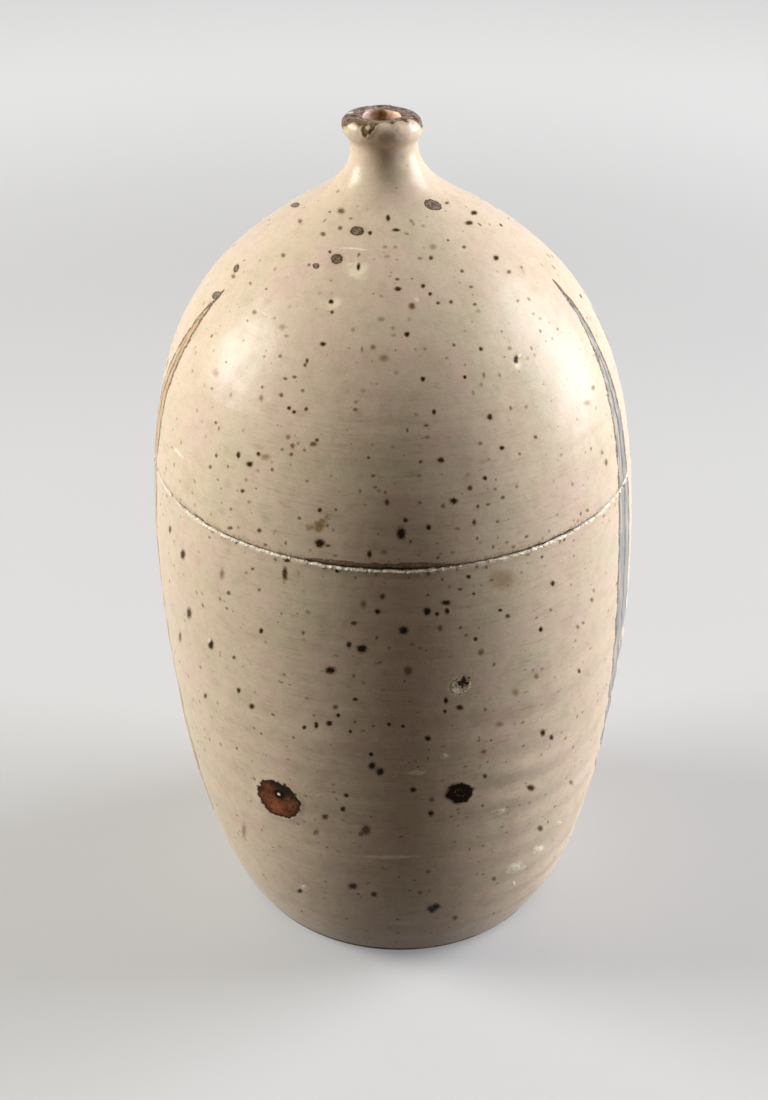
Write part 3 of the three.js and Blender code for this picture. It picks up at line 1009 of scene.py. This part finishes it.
def jar_skin(rng):
    """The jar body: bare clay at the foot and seat, and a crumbled glaze edge below the seam."""
    skin = Skin(jar_bands(), False)
    wall = skin.part == "wall"
    below = skin.length[skin.part == "seat"].min() - skin.length
    above = skin.length - skin.length[wall].min()
    begins, ends = SEAT_STRIP
    front_strip = smooth(skin.degrees, *begins) * smooth(skin.degrees, *ends)
    bite = noise(skin.place, 1.5, 11)
    seat_line = SEAT_GAP + 0.22 * bite + SEAT_GAP_FRONT * front_strip
    heel_line = HEEL_GAP + 0.9 * noise(skin.place, 9, 12) + 0.25 * bite
    bare = np.maximum(seat_line - below, heel_line - above)
    skin.bare[wall] = bare[wall].clip(-EDGE_LIMIT, EDGE_LIMIT)
    skin.thrown()
    skin.seam[skin.part == "seat"] = -EDGE_LIMIT
    skin.seam[wall] = (below - seat_line)[wall].clip(-EDGE_LIMIT, FAR)
    crumb = smooth(noise(skin.place, 0.95, 13) + 0.5 * noise(skin.place, 4.5, 14), -0.2, 0.5)
    band = smooth(skin.seam, -0.5, 0.1) * smooth(skin.seam, 1.3, 0.5)
    bead = SEAM_BEAD * np.exp(-(((skin.seam - 0.8) / 0.6) ** 2))
    skin.relief += wall * (bead - SEAM_CRUMB_DEPTH * crumb * band)
    skin.marks()
    skin.named_spots(BODY_SPOTS)
    skin.scattered_spots(rng, JAR_SPOT_COUNT)
    skin.leaves()
    iron = np.zeros(len(skin.bare))
    return skin.build("jar_body_skin", iron, iron)


def lid_skin(rng):
    """The lid: a chipped lower rim, and a lip with a lobed glaze edge, a drip and a bare top."""
    skin = Skin(lid_bands(), True)
    wall = skin.part == "wall"
    lip = skin.part == "lip"
    bite = noise(skin.place, 1.5, 21)
    above = skin.length - skin.length[wall].min()
    begins, ends = LID_STRIP
    front_strip = smooth(skin.degrees, *begins) * smooth(skin.degrees, *ends)
    rim_line = LID_GAP + 0.15 * bite + (LID_GAP_FRONT + 0.15 * bite) * front_strip
    skin.bare[wall] = (rim_line - above)[wall].clip(-EDGE_LIMIT, EDGE_LIMIT)
    skin.seam[:] = np.where(wall, -above.clip(0, FAR), -FAR)
    past = skin.length - skin.length[lip & (skin.radius > LIP_RADIUS - 0.01)].max()
    front = smooth(np.cos(skin.angle), 0.15, 0.6)
    ragged = noise(skin.place, (2.3, 2.3, 30), 22) + 0.5 * noise(skin.place, (1.1, 1.1, 30), 23)
    lobes = np.abs(np.sin(math.pi * (skin.degrees - LIP_LOBE_START) / LIP_LOBE_ANGLE)) - 0.6
    edge = LIP_EDGE_SIDE + (LIP_EDGE_FRONT - LIP_EDGE_SIDE) * front
    edge = edge + LIP_LOBE * lobes + LIP_SCALLOP * ragged
    around = np.radians(skin.degrees - LIP_ISLAND_ANGLE) * LIP_RADIUS
    edge -= LIP_LEFT_DROP * smooth(-skin.degrees, 22, 45) + LIP_DRIP_DROP * np.exp(-((around / 1.4) ** 2))
    crumbly = 0.22 * noise(skin.place, 0.9, 28)
    drips = [stroke_distance(around, past, stroke) for stroke in LIP_DRIPS.values()]
    island = LIP_ISLAND_RADIUS - np.hypot(around, past - LIP_ISLAND_PLACE)
    bore_start = BORE_GLAZE_START - 0.9 * smooth(-np.cos(skin.angle), -0.1, 0.6)
    bare = np.minimum(past - edge, bore_start + 0.5 * ragged - past)
    bare = np.maximum(bare, 1.5 * (LIP_DRIP_WIDTH + crumbly - np.min(drips, axis=0)))
    skin.bare[lip] = np.minimum(bare, -1.6 * island)[lip].clip(-EDGE_LIMIT, EDGE_LIMIT)
    skin.thrown()
    chipped = smooth(noise(skin.place, 1.6, 24) + 0.7 * noise(skin.place, 6, 25), 0.35, 0.8)
    skin.relief -= SEAM_CHIP_DEPTH * chipped * wall * smooth(above, 1.1, 0.3)
    glazed = smooth(skin.bare, 0.05, -0.45)
    roll = np.exp(-(((skin.bare + 0.5) / 0.35) ** 2))
    lumps = 0.14 * noise(skin.place, 2.8, 26) + 0.05 * noise(skin.place, 1.0, 27)
    outer = smooth(past, 6.5, 5)
    glaze = LIP_GLAZE_THICKNESS * glazed + LIP_GLAZE_ROLL * roll + lumps
    skin.relief += lip * outer * smooth(past, -3.5, -0.5) * glaze
    skin.relief += lip * outer * smooth(past, 0, 3) * smooth(np.cos(skin.angle), 0, 0.8) * LIP_FRONT_RISE
    skin.marks()
    skin.named_spots(DOME_SPOTS)
    skin.scattered_spots(rng, LID_SPOT_COUNT)
    skin.leaves()
    iron = (lip & (past > -2.5)).astype(float)
    warm = lip * smooth(past - bore_start, -1.2, -0.4)
    return skin.build("lid_skin", iron, warm)


def grey(level):
    return (level, level, level)


class Nodes:
    """Short calls for a material's nodes. A value may be a number, a colour or another node's socket."""

    RAMP_INPUTS = ("Value", "From Min", "From Max", "To Min", "To Max")

    def __init__(self, tree):
        self.tree = tree
        coordinates = tree.nodes.new("ShaderNodeTexCoord")
        self.place = coordinates.outputs["Object"]

    def feed(self, socket, value):
        if isinstance(value, bpy.types.NodeSocket):
            self.tree.links.new(value, socket)
        elif isinstance(value, tuple) and len(value) == 3 and socket.type == "RGBA":
            socket.default_value = (*value, 1)
        else:
            socket.default_value = value

    def add(self, kind, **settings):
        node = self.tree.nodes.new("ShaderNode" + kind)
        for name, value in settings.items():
            setattr(node, name, value)
        return node

    def math(self, operation, *values):
        node = self.add("Math", operation=operation)
        for socket, value in zip(node.inputs, values):
            self.feed(socket, value)
        return node.outputs[0]

    def times(self, *values):
        return self.math("MULTIPLY", *values)

    def scaled(self, value, factor, offset):
        return self.math("MULTIPLY_ADD", value, factor, offset)

    def vector(self, operation, *values):
        node = self.add("VectorMath", operation=operation)
        for socket, value in zip(node.inputs, values):
            self.feed(socket, value)
        return node.outputs["Value" if operation in ("LENGTH", "DISTANCE") else "Vector"]

    def ramp(self, value, start, end, low=0.0, high=1.0):
        """Goes smoothly from low at start to high at end. Start may be above end."""
        node = self.add("MapRange", interpolation_type="SMOOTHSTEP")
        for name, given in zip(self.RAMP_INPUTS, (value, start, end, low, high)):
            self.feed(node.inputs[name], given)
        return node.outputs["Result"]

    def mix(self, share, first, second, blend="MIX"):
        node = self.add("Mix", data_type="RGBA", blend_type=blend)
        self.feed(node.inputs[0], share)
        self.feed(node.inputs[6], first)
        self.feed(node.inputs[7], second)
        return node.outputs[2]

    def grid(self, cell, seed, stretch, place=None):
        """The place in cells of so many millimetres, shifted for each seed."""
        node = self.add("Mapping")
        self.feed(node.inputs["Vector"], place or self.place)
        node.inputs["Scale"].default_value = [1 / (cell * s * MM) for s in stretch]
        node.inputs["Location"].default_value = (seed * 7.3, seed * 3.1, seed * 5.7)
        return node.outputs[0]

    def noise(self, cell, seed, detail=2.0, stretch=(1, 1, 1), colour=False, place=None):
        place = self.grid(cell, seed, stretch, place)
        node = self.add("TexNoise")
        self.feed(node.inputs["Vector"], place)
        node.inputs["Scale"].default_value = 1
        node.inputs["Detail"].default_value = detail
        return node.outputs[1 if colour else 0]

    def cells(self, cell, seed):
        """Distance to the nearest cell's middle in millimetres, and three random numbers of that cell."""
        place = self.grid(cell, seed, (1, 1, 1))
        node = self.add("TexVoronoi")
        self.feed(node.inputs["Vector"], place)
        node.inputs["Scale"].default_value = 1
        split = self.add("SeparateColor")
        self.feed(split.inputs[0], node.outputs["Color"])
        return self.times(node.outputs["Distance"], cell), split.outputs

    def stored(self, name):
        node = self.add("Attribute", attribute_name=name)
        split = self.add("SeparateColor")
        self.feed(split.inputs[0], node.outputs["Color"])
        return (*split.outputs, node.outputs["Alpha"], node.outputs["Color"])

    def spot(self, name, shake, wobble):
        """Ragged distance to a stored spot's middle in its own radii, its level, and the place in them."""
        _, _, inside, level, whole = self.stored(name)
        flat = self.vector("MULTIPLY", whole, (1, 1, 0))
        away = self.vector("MULTIPLY_ADD", shake, (wobble, wobble, 0), flat)
        outside = self.math("LESS_THAN", inside, 0.999)
        return self.scaled(outside, FAR, self.vector("LENGTH", away)), level, flat

    def zone(self, name, edge):
        """1 inside a stored spot, out to its edge in its own radii, and 0 elsewhere."""
        _, _, inside, _, whole = self.stored(name)
        away = self.vector("LENGTH", self.vector("MULTIPLY", whole, (1, 1, 0)))
        outside = self.math("LESS_THAN", inside, 0.999)
        return self.ramp(self.scaled(outside, FAR, away), edge + 0.1, edge - 0.1)


class Grounds:
    """Places and noises that several parts of the material share."""

    def __init__(self, n):
        split = n.add("SeparateXYZ")
        n.feed(split.inputs[0], n.place)
        way = n.add("Attribute", attribute_name="way")
        join = n.add("CombineXYZ")
        for socket, value in zip(join.inputs, (split.outputs[0], split.outputs[1], way.outputs["Fac"])):
            n.feed(socket, value)
        self.along_rings = join.outputs[0]
        self.side = split.outputs[0]
        self.front = split.outputs[1]
        self.depth = n.math("ABSOLUTE", split.outputs[1])
        self.height = split.outputs[2]
        self.patches = n.noise(2.2, 31, 3)
        self.specks = n.noise(0.6, 30, 3)
        self.clouds = n.noise(4.5, 4, 3)
        half = (0.5, 0.5, 0.5)
        self.fine = n.vector("SUBTRACT", n.noise(0.5, 11, 2, colour=True), half)
        self.coarse = n.vector("SUBTRACT", n.noise(2.0, 32, 3, colour=True), half)


def glaze_colour(n, g):
    """Cream glaze: soft blushes, straw-coloured clouds, broken level brush lines and fine grain."""
    colour = n.mix(n.ramp(n.noise(9, 1, 3), 0.48, 0.68), CREAM, BLUSH)
    colour = n.mix(n.ramp(n.noise(14, 2, 3), 0.50, 0.72), colour, STRAW)
    colour = n.mix(n.ramp(g.clouds, 0.45, 0.75, 0.0, 0.45), colour, CLOUD_SHADE, "MULTIPLY")
    lines = n.noise(0.6, 3, 3, (9, 9, 1), place=g.along_rings)
    below_neck = n.ramp(g.height, 0.172, 0.148, 0.12, 1.0)
    fade = n.times(below_neck, n.ramp(g.depth, 0.030, 0.050, 0.35, 1.0))
    broken = n.times(n.ramp(g.patches, 0.35, 0.65, 0.45, 1.0), fade)
    dark = n.times(n.ramp(lines, 0.54, 0.70), broken)
    colour = n.mix(dark, colour, BRUSH_SHADE, "MULTIPLY")
    pale = n.times(n.ramp(lines, 0.42, 0.28), broken)
    colour = n.mix(n.times(pale, 0.3), colour, BRUSH_PALE)
    grain = n.noise(0.35, 5, 2)
    colour = n.mix(n.ramp(g.patches, 0.42, 0.66, 0.0, 0.35), colour, PATCH_SHADE, "MULTIPLY")
    return n.mix(n.ramp(grain, 0.38, 0.7, 0.0, 0.28), colour, GRAIN_SHADE, "MULTIPLY")


def fine_specks(n, g, colour):
    """Dust of iron too small to name one by one, and pale brown ghosts of specks under the glaze."""
    shake = n.scaled(g.specks, 0.30, -0.15)
    for cell, seed, least, most, density in FINE_SPECKS:
        distance, (size, there, level) = n.cells(cell, seed)
        edge = n.ramp(size, 0, 1, least, most)
        core = n.ramp(n.math("ADD", distance, shake), edge, n.times(edge, 0.1))
        kept = n.math("GREATER_THAN", there, density)
        strength = n.times(kept, n.ramp(level, 0, 1, 0.08, 0.8))
        colour = n.mix(n.times(core, strength), colour, IRON_SOFT)
    distance, (size, there, _) = n.cells(8, 8)
    ghost = n.ramp(distance, n.ramp(size, 0, 1, 0.9, 1.9), 0.2)
    ghost = n.times(ghost, n.math("GREATER_THAN", there, 0.6))
    return n.mix(n.times(ghost, 0.22), colour, OLIVE)


def pits(n, g, colour):
    """Pale halos round the pits, which lie under the spots."""
    for name in ("mark_pit", "mark_halo"):
        distance, _, _ = n.spot(name, g.coarse, 1.5)
        colour = n.mix(n.ramp(distance, 1.1, 0.3, 0.0, 0.75), colour, PIT)
    return colour


def iron_spots(n, g, colour):
    """The stored spots: a ragged dark core with a brown rim and halo, softer where less dark."""
    for name in LAYERS:
        distance, darkness, _ = n.spot(name, g.fine, 0.85)
        colour = n.mix(n.ramp(distance, 1.65, 0.8, 0.0, 0.45), colour, SPOT_SHADE, "MULTIPLY")
        core = n.ramp(distance, 1.3, n.ramp(darkness, 0.2, 1.0, 0.05, 0.55))
        black = n.times(n.ramp(distance, 1.0, 0.5), n.ramp(darkness, 0.7, 1.0))
        tone = n.mix(black, IRON_BROWN, IRON_DARK)
        strength = n.ramp(darkness, 0.0, 0.9, 0.25, 0.97)
        colour = n.mix(n.times(core, strength), colour, tone)
    return colour


def rust_blotch(n, g, colour, rough):
    """A burst of rust with a dark rim and crust, a glowing lower half, and a hole with a painted highlight
    in it.
    """
    distance, _, flat = n.spot("mark_rust", g.coarse, 0.52)
    split = n.add("SeparateXYZ")
    n.feed(split.inputs[0], flat)
    inner = n.mix(n.ramp(g.patches, 0.40, 0.62), RUST, RUST_DEEP)
    glow = n.ramp(n.vector("DISTANCE", flat, (0.15, -0.45, 0)), 0.55, 0.1, 0.0, 0.7)
    inner = n.mix(glow, inner, RUST_GLOW)
    shade = n.scaled(g.patches, 0.8, split.outputs[1])
    inner = n.mix(n.ramp(shade, 0.62, 0.95), inner, RUST_CRUST)
    inner = n.mix(n.ramp(g.specks, 0.52, 0.66, 0.0, 0.5), inner, IRON_DARK)
    inner = n.mix(n.ramp(distance, 0.80, 0.98, 0.0, 0.9), inner, RUST_RIM)
    hole = n.ramp(n.vector("DISTANCE", flat, (-0.08, 0.28, 0)), 0.34, 0.20)
    inner = n.mix(hole, inner, IRON_DARK)
    # Painted highlight: a small pale glint in the hole
    glint = n.ramp(n.vector("DISTANCE", flat, (-0.10, 0.24, 0)), 0.10, 0.05)
    inner = n.mix(glint, inner, PALE)
    mask = n.ramp(distance, 1.03, 0.97)
    return n.mix(mask, colour, inner), n.mix(mask, rough, grey(0.55))


def slag_blotch(n, g, colour, rough):
    """A black blotch with a painted ring of dull highlights round its pit."""
    distance, _, flat = n.spot("mark_slag", g.coarse, 0.60)
    mask = n.ramp(distance, 1.10, 0.85)
    # Painted highlights: a ring of dull glints round the pit
    ring = n.ramp(n.math("ABSOLUTE", n.math("SUBTRACT", n.vector("LENGTH", flat), 0.34)), 0.16, 0.02)
    glint = n.times(ring, n.ramp(g.specks, 0.50, 0.60))
    inner = n.mix(glint, IRON_DARK, SLAG_GLINT)
    return n.mix(mask, colour, inner), n.mix(mask, rough, grey(0.62))


def mottles(n, g, colour):
    """Round spots with a dark rim and a mottled middle."""
    distance, _, _ = n.spot("mark_mottle", g.fine, 0.5)
    inner = n.mix(n.ramp(g.specks, 0.44, 0.58), MOTTLE_DARK, MOTTLE_PALE)
    inner = n.mix(n.ramp(distance, 0.62, 0.88, 0.0, 0.85), inner, MOTTLE_RIM)
    colour = n.mix(n.ramp(distance, 1.7, 0.9, 0.0, 0.3), colour, MOTTLE_SHADE, "MULTIPLY")
    return n.mix(n.ramp(distance, 1.08, 0.95, 0.0, 0.95), colour, inner)


def chip(n, g, colour):
    """A break in the glaze: pale crumbs round its edge, a painted highlight below, and dark crumbs above.
    """
    distance, _, flat = n.spot("mark_chip", g.fine, 1.3)
    rim = n.times(n.ramp(distance, 0.55, 0.85), n.ramp(g.specks, 0.44, 0.52))
    inner = n.mix(rim, CHIP, CHIP_EDGE)
    # Painted highlight: a pale glint on the lower left
    glint = n.ramp(n.vector("DISTANCE", flat, (-0.72, -0.45, 0)), 0.62, 0.34)
    inner = n.mix(n.times(glint, n.ramp(g.specks, 0.36, 0.46)), inner, PALE)
    away = n.vector("DISTANCE", flat, (0.34, 0.22, 0))
    crumbs = n.scaled(g.specks, -2.4, n.math("ADD", away, 1.2))
    inner = n.mix(n.ramp(crumbs, 0.62, 0.42), inner, CHIP_CRUMB)
    return n.mix(n.ramp(distance, 1.15, 0.95), colour, inner)


def scars(n, g, colour):
    """Broken cream scratches and small glints: partly the marks' own cream, partly painted highlight."""
    for name in ("mark_scar", "mark_glint"):
        distance, _, _ = n.spot(name, g.coarse, 2.2)
        broken = n.times(n.ramp(distance, 1.3, 0.6), n.ramp(g.specks, 0.34, 0.48, 0.45, 1.0))
        colour = n.mix(broken, colour, SCAR_HIGHLIGHT)
    return colour


def smear(n, g, colour):
    """A brown smear above the seam, in a few dabs that run together."""
    distance, _, flat = n.spot("mark_smear", g.fine, 0)
    near = FAR
    for across, up, size in SMEAR_DABS:
        dab = n.math("SUBTRACT", n.vector("DISTANCE", flat, (across, up, 0)), size)
        near = n.math("MINIMUM", near, dab)
    near = n.scaled(g.patches, 1.5, near)
    near = n.scaled(n.math("GREATER_THAN", distance, FAR - 0.5), FAR, near)
    return n.mix(n.ramp(near, 1.12, 0.68, 0.0, 0.8), colour, SMEAR)


def bruises(n, g, colour):
    """Mauve-brown patches of iron with a thin dark rim."""
    distance, _, _ = n.spot("mark_bruise", g.fine, 0.6)
    inner = n.mix(n.ramp(g.specks, 0.40, 0.6), BRUISE_DARK, BRUISE_PALE)
    inner = n.mix(n.ramp(distance, 0.82, 0.92), inner, BRUISE_RIM)
    return n.mix(n.ramp(distance, 1.05, 0.95), colour, inner)


def brush_leaves(n, g, colour):
    """Plain brush leaves under the glaze: a brown outline and vein round an ochre or blue-grey wash."""
    distance, across, along, kind, _ = n.stored("leaf")
    shake = n.scaled(g.patches, 1.6, -0.8)
    edge = n.math("ADD", distance, shake)
    streaks = n.noise(1.1, 42, 2, (1, 1, 9))
    wash = n.mix(kind, OCHRE, BLUE_GREY)
    opacity = n.times(n.ramp(edge, 0.1, -0.6), n.ramp(streaks, 0.3, 0.62, 0.35, 0.85))
    colour = n.mix(opacity, colour, wash)
    thickness = n.ramp(g.clouds, 0.35, 0.62, 0.35, 0.95)
    stroke = n.ramp(n.math("ABSOLUTE", edge), thickness, n.times(thickness, 0.55))
    vein = n.ramp(n.math("ABSOLUTE", n.scaled(shake, 0.7, across)), 0.60, 0.30)
    vein = n.times(vein, n.ramp(distance, -1.2, -2.5))
    dry = n.ramp(g.specks, 0.34, 0.5, 0.35, 0.92)
    return n.mix(n.times(n.math("MAXIMUM", stroke, vein), dry), colour, OUTLINE)


def clay_colour(n, g, iron):
    """Bare stoneware: buff brown with grog, and purple-brown where iron has washed over the lip."""
    clay = n.mix(n.ramp(g.clouds, 0.4, 0.65), CLAY, CLAY_DARK)
    clay = n.mix(n.ramp(g.specks, 0.56, 0.68, 0.0, 0.7), clay, GROG_PALE)
    clay = n.mix(n.ramp(g.specks, 0.42, 0.32, 0.0, 0.7), clay, GROG_DARK)
    blots = n.noise(1.2, 53, 3)
    lip = n.mix(n.ramp(blots, 0.42, 0.62), LIP_IRON, LIP_PINK)
    front = n.scaled(g.patches, 0.010, n.math("SUBTRACT", g.front, 0.005))
    lip = n.mix(n.ramp(front, 0.0035, -0.0015, 0.0, 0.9), lip, LIP_BROWN)
    lip = n.mix(n.ramp(blots, 0.42, 0.34), lip, LIP_BLACK)
    # Pale specks: partly grit, partly painted glints
    lip = n.mix(n.ramp(g.specks, 0.60, 0.70, 0.0, 0.7), lip, LIP_GRIT_AND_GLINT)
    for place, radius, tone in LIP_DOTS:
        away = n.scaled(g.specks, 0.0006, n.vector("DISTANCE", n.place, place))
        lip = n.mix(n.ramp(away, 1.3 * radius, 0.9 * radius), lip, tone)
    return n.mix(iron, clay, lip)


def seam_edges(n, seam, colour):
    """The jar's crumbled pale glaze edge with painted highlights, where seam is above zero, and the lid's
    glaze darkened towards its lower edge, below zero.
    """
    crumbs = n.noise(0.8, 67, 3)
    away = n.scaled(crumbs, -1.9, n.math("ADD", seam, 0.52))
    mask = n.times(n.ramp(away, 0.30, 0.12), n.ramp(seam, -0.25, -0.1))
    # Painted highlights: bright glints on the pale crumbs of broken glaze
    glints = n.ramp(n.noise(0.35, 70, 1), 0.40, 0.52, 0.45, 1.0)
    colour = n.mix(n.times(mask, glints), colour, PALE)
    # Darker towards the lid's lower edge, next to the joint
    lid_edge = n.times(n.ramp(seam, -1.8, -0.3), n.math("LESS_THAN", seam, 0.0))
    darkening = n.times(lid_edge, n.ramp(crumbs, 0.40, 0.62, 0.15, 0.75))
    return n.mix(darkening, colour, LID_EDGE_DARKENING, "MULTIPLY")


def bore_colour(n, g):
    """Thin pink glaze in the bore, brown down its middle as the photograph shows it."""
    bore = n.mix(n.ramp(g.side, -0.0045, -0.0020), BORE_PINK, BORE_GLAZE)
    middle = n.scaled(g.patches, 0.006, n.math("ABSOLUTE", n.math("ADD", g.side, 0.0039)))
    middle = n.ramp(middle, 0.0050, 0.0032)
    return n.mix(middle, bore, BORE_BROWN)


def thin_edge(n, edge, outer_lip, colour):
    """Glaze that thins to brown towards its edge on the lip."""
    thin = n.times(n.ramp(edge, -1.1, -0.35), outer_lip)
    colour = n.mix(n.times(thin, 0.6), colour, THIN_GLAZE)
    thinnest = n.times(n.ramp(edge, -0.5, -0.05), outer_lip)
    return n.mix(n.times(thinnest, 0.85), colour, THINNEST_GLAZE)


def relief(n, g, bare, seam):
    """Height in millimetres: ripple and brush lines of the glaze, and the tooth of bare clay and marks."""
    height = n.times(n.noise(4.5, 62, 3), 0.085)
    height = n.scaled(n.noise(0.8, 3, 2, (12, 12, 1), place=g.along_rings), 0.022, height)
    tooth = n.times(n.ramp(bare, -0.1, 0.1), 0.14)
    edge = n.times(n.ramp(seam, 1.1, 0.6), n.ramp(seam, -0.3, 0.0))
    tooth = n.scaled(edge, 0.30, tooth)
    for name, depth in (("rust", 0.20), ("slag", 0.15), ("chip", 0.25), ("mottle", 0.10)):
        tooth = n.scaled(n.zone("mark_" + name, 0.9), depth, tooth)
    height = n.scaled(g.specks, n.math("ADD", tooth, 0.018), height)
    for name in ("scar", "glint"):
        height = n.scaled(n.zone("mark_" + name, 0.5), 0.07, height)
    return height


def sheen(n, lightness):
    """Specular level: nearly none on the dry black spots, and most on the bright scars."""
    shine = n.ramp(lightness, 0.01, 0.14, 0.035, 0.22)
    return n.math("ADD", shine, n.ramp(lightness, 0.78, 0.90, 0.0, 0.30))


def stoneware(name):
    """The material, alike on both pieces: glaze, its marks and brushwork, its edges, and bare clay."""
    material = bpy.data.materials.new(name)
    material.use_nodes = True
    shader = material.node_tree.nodes["Principled BSDF"]
    n = Nodes(material.node_tree)
    g = Grounds(n)
    colour = fine_specks(n, g, glaze_colour(n, g))
    bare, seam, iron, warm, _ = n.stored("tone")
    colour = n.mix(warm, colour, bore_colour(n, g))
    colour = brush_leaves(n, g, colour)
    colour = pits(n, g, colour)
    colour = iron_spots(n, g, colour)
    rough = n.mix(g.clouds, grey(0.24), grey(0.40))
    rough = n.mix(n.ramp(g.height, 0.168, 0.185, 0.0, 0.6), rough, grey(0.20))
    colour, rough = rust_blotch(n, g, colour, rough)
    colour, rough = slag_blotch(n, g, colour, rough)
    for mark in (mottles, chip, scars, smear, bruises):
        colour = mark(n, g, colour)
    edge = n.scaled(g.specks, 0.5, n.math("SUBTRACT", bare, 0.25))
    outer_lip = n.times(iron, n.math("SUBTRACT", 1, warm))
    colour = thin_edge(n, edge, outer_lip, colour)
    colour = seam_edges(n, seam, colour)
    bare_share = n.ramp(edge, -0.08, 0.08)
    # Painted shadow under the glaze's raised edge: a dark line along it
    edge_shadow_share = n.times(n.ramp(edge, -0.22, -0.04), n.ramp(edge, 0.16, 0.02))
    colour = n.mix(bare_share, colour, clay_colour(n, g, iron))
    colour = n.mix(n.times(edge_shadow_share, 0.8), colour, GLAZE_EDGE_SHADOW)
    bare_rough = n.mix(iron, grey(0.88), n.mix(g.specks, grey(0.05), grey(0.55)))
    rough = n.mix(bare_share, rough, bare_rough)
    bump = n.add("Bump")
    bump.inputs["Distance"].default_value = MM
    n.feed(bump.inputs["Height"], relief(n, g, bare, seam))
    lightness = n.add("RGBToBW")
    n.feed(lightness.inputs[0], colour)
    n.feed(shader.inputs["Base Color"], colour)
    n.feed(shader.inputs["Specular IOR Level"], sheen(n, lightness.outputs[0]))
    n.feed(shader.inputs["Roughness"], rough)
    n.feed(shader.inputs["Normal"], bump.outputs[0])
    return material


def dress(obj, body, node, slot):
    """Gives a skin its material, and puts it on its body in place of its node."""
    obj.data.materials.append(stoneware(slot))
    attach(obj, body)
    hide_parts(node)


# Floor and sky: what is seen of them, what lights the pot, and in metres where the floor turns into sky
FLOOR_HALF = 12.0
FLOOR_NEAR = 0.22
FLOOR_FAR = 0.95
FLOOR_SEEN = (0.42, 0.42, 0.42)
FLOOR_GLOW = 0.22
FLOOR_LIGHT = (0.075, 0.061, 0.049)
SKY_SEEN = (0.70, 0.70, 0.695)
SKY_LIGHT = (0.060, 0.0425, 0.0305)

# Lamps: distance in metres, and colours
LAMP_DISTANCE = 1.4
LEFT_LIGHT = (1, 0.996, 0.95)
RIGHT_LIGHT = (0.946, 0.959, 1)
TOP_LIGHT = (1, 0.90, 0.76)


def pale_rays(n):
    """1 for rays that see the background itself: camera, glossy and transmission rays."""
    path = n.add("LightPath")
    seen = n.math("MAXIMUM", path.outputs["Is Camera Ray"], path.outputs["Is Glossy Ray"])
    return n.math("MAXIMUM", seen, path.outputs["Is Transmission Ray"])


def floor():
    """A plain pale floor that keeps the pot's shadow near it."""
    mesh = bpy.data.meshes.new("floor")
    corners = [(x * FLOOR_HALF, y * FLOOR_HALF, 0) for x, y in ((-1, -1), (1, -1), (1, 1), (-1, 1))]
    mesh.from_pydata(corners, [], [(0, 1, 2, 3)])
    obj = bpy.data.objects.new("floor", mesh)
    bpy.context.scene.collection.objects.link(obj)
    material = bpy.data.materials.new("floor")
    material.use_nodes = True
    shader = material.node_tree.nodes["Principled BSDF"]
    n = Nodes(material.node_tree)
    seen = pale_rays(n)
    far = n.ramp(n.vector("LENGTH", n.place), FLOOR_NEAR, FLOOR_FAR)
    n.feed(shader.inputs["Base Color"], n.mix(seen, FLOOR_LIGHT, n.mix(far, FLOOR_SEEN, grey(0))))
    n.feed(shader.inputs["Emission Color"], n.mix(far, grey(1), SKY_SEEN))
    glow = n.times(n.ramp(far, 0, 1, FLOOR_GLOW, 1.0), seen)
    n.feed(shader.inputs["Emission Strength"], glow)
    shader.inputs["Specular IOR Level"].default_value = 0
    obj.data.materials.append(material)


def lamp(name, azimuth, elevation, width, height, power, colour):
    """A soft lamp that looks at the belly. Azimuth 0 is the camera's side, 90 is +X."""
    data = bpy.data.lights.new(name, "AREA")
    data.shape = "RECTANGLE"
    data.size = width
    data.size_y = height
    data.energy = power
    data.color = colour
    obj = bpy.data.objects.new(name, data)
    a, e = math.radians(azimuth), math.radians(elevation)
    way = Vector((math.sin(a) * math.cos(e), -math.cos(a) * math.cos(e), math.sin(e)))
    obj.location = Vector((0, 0, BELLY_HEIGHT * MM)) + way * LAMP_DISTANCE
    obj.rotation_euler = (-way).to_track_quat("-Z", "Y").to_euler()
    bpy.context.scene.collection.objects.link(obj)


def camera():
    """The photograph's camera."""
    data = bpy.data.cameras.new("camera")
    data.sensor_width = 36
    data.lens = data.sensor_width * FOCAL_PIXELS / IMAGE_HEIGHT
    obj = bpy.data.objects.new("camera", data)
    turn = Matrix((SIDE, TOP, -FORWARD)).transposed()
    obj.matrix_world = Matrix.Translation(CAMERA_PLACE * MM) @ turn.to_4x4()
    bpy.context.scene.collection.objects.link(obj)
    bpy.context.scene.camera = obj


def world():
    """A plain sky, paler to the camera than to the pot, and colours shown as they are."""
    scene = bpy.context.scene
    scene.world = bpy.data.worlds.new("studio")
    scene.world.use_nodes = True
    n = Nodes(scene.world.node_tree)
    back = scene.world.node_tree.nodes["Background"]
    n.feed(back.inputs["Color"], n.mix(pale_rays(n), SKY_LIGHT, SKY_SEEN))
    back.inputs["Strength"].default_value = 1
    scene.view_settings.view_transform = "Standard"


camera()
world()
floor()
lamp("left_lamp", azimuth=-93, elevation=23.5, width=0.58, height=0.70, power=25.2, colour=LEFT_LIGHT)
lamp("right_lamp", azimuth=102.5, elevation=18.5, width=0.85, height=1.2, power=38.5, colour=RIGHT_LIGHT)
lamp("top_lamp", azimuth=0, elevation=90, width=1.0, height=1.0, power=1.0, colour=TOP_LIGHT)
draws = np.random.default_rng(SEED)
dress(jar_skin(draws), "jar", "jar_body", "jar_glaze")
dress(lid_skin(draws), "lid", "lid_with_neck", "lid_glaze")

bpy.context.view_layer.update()
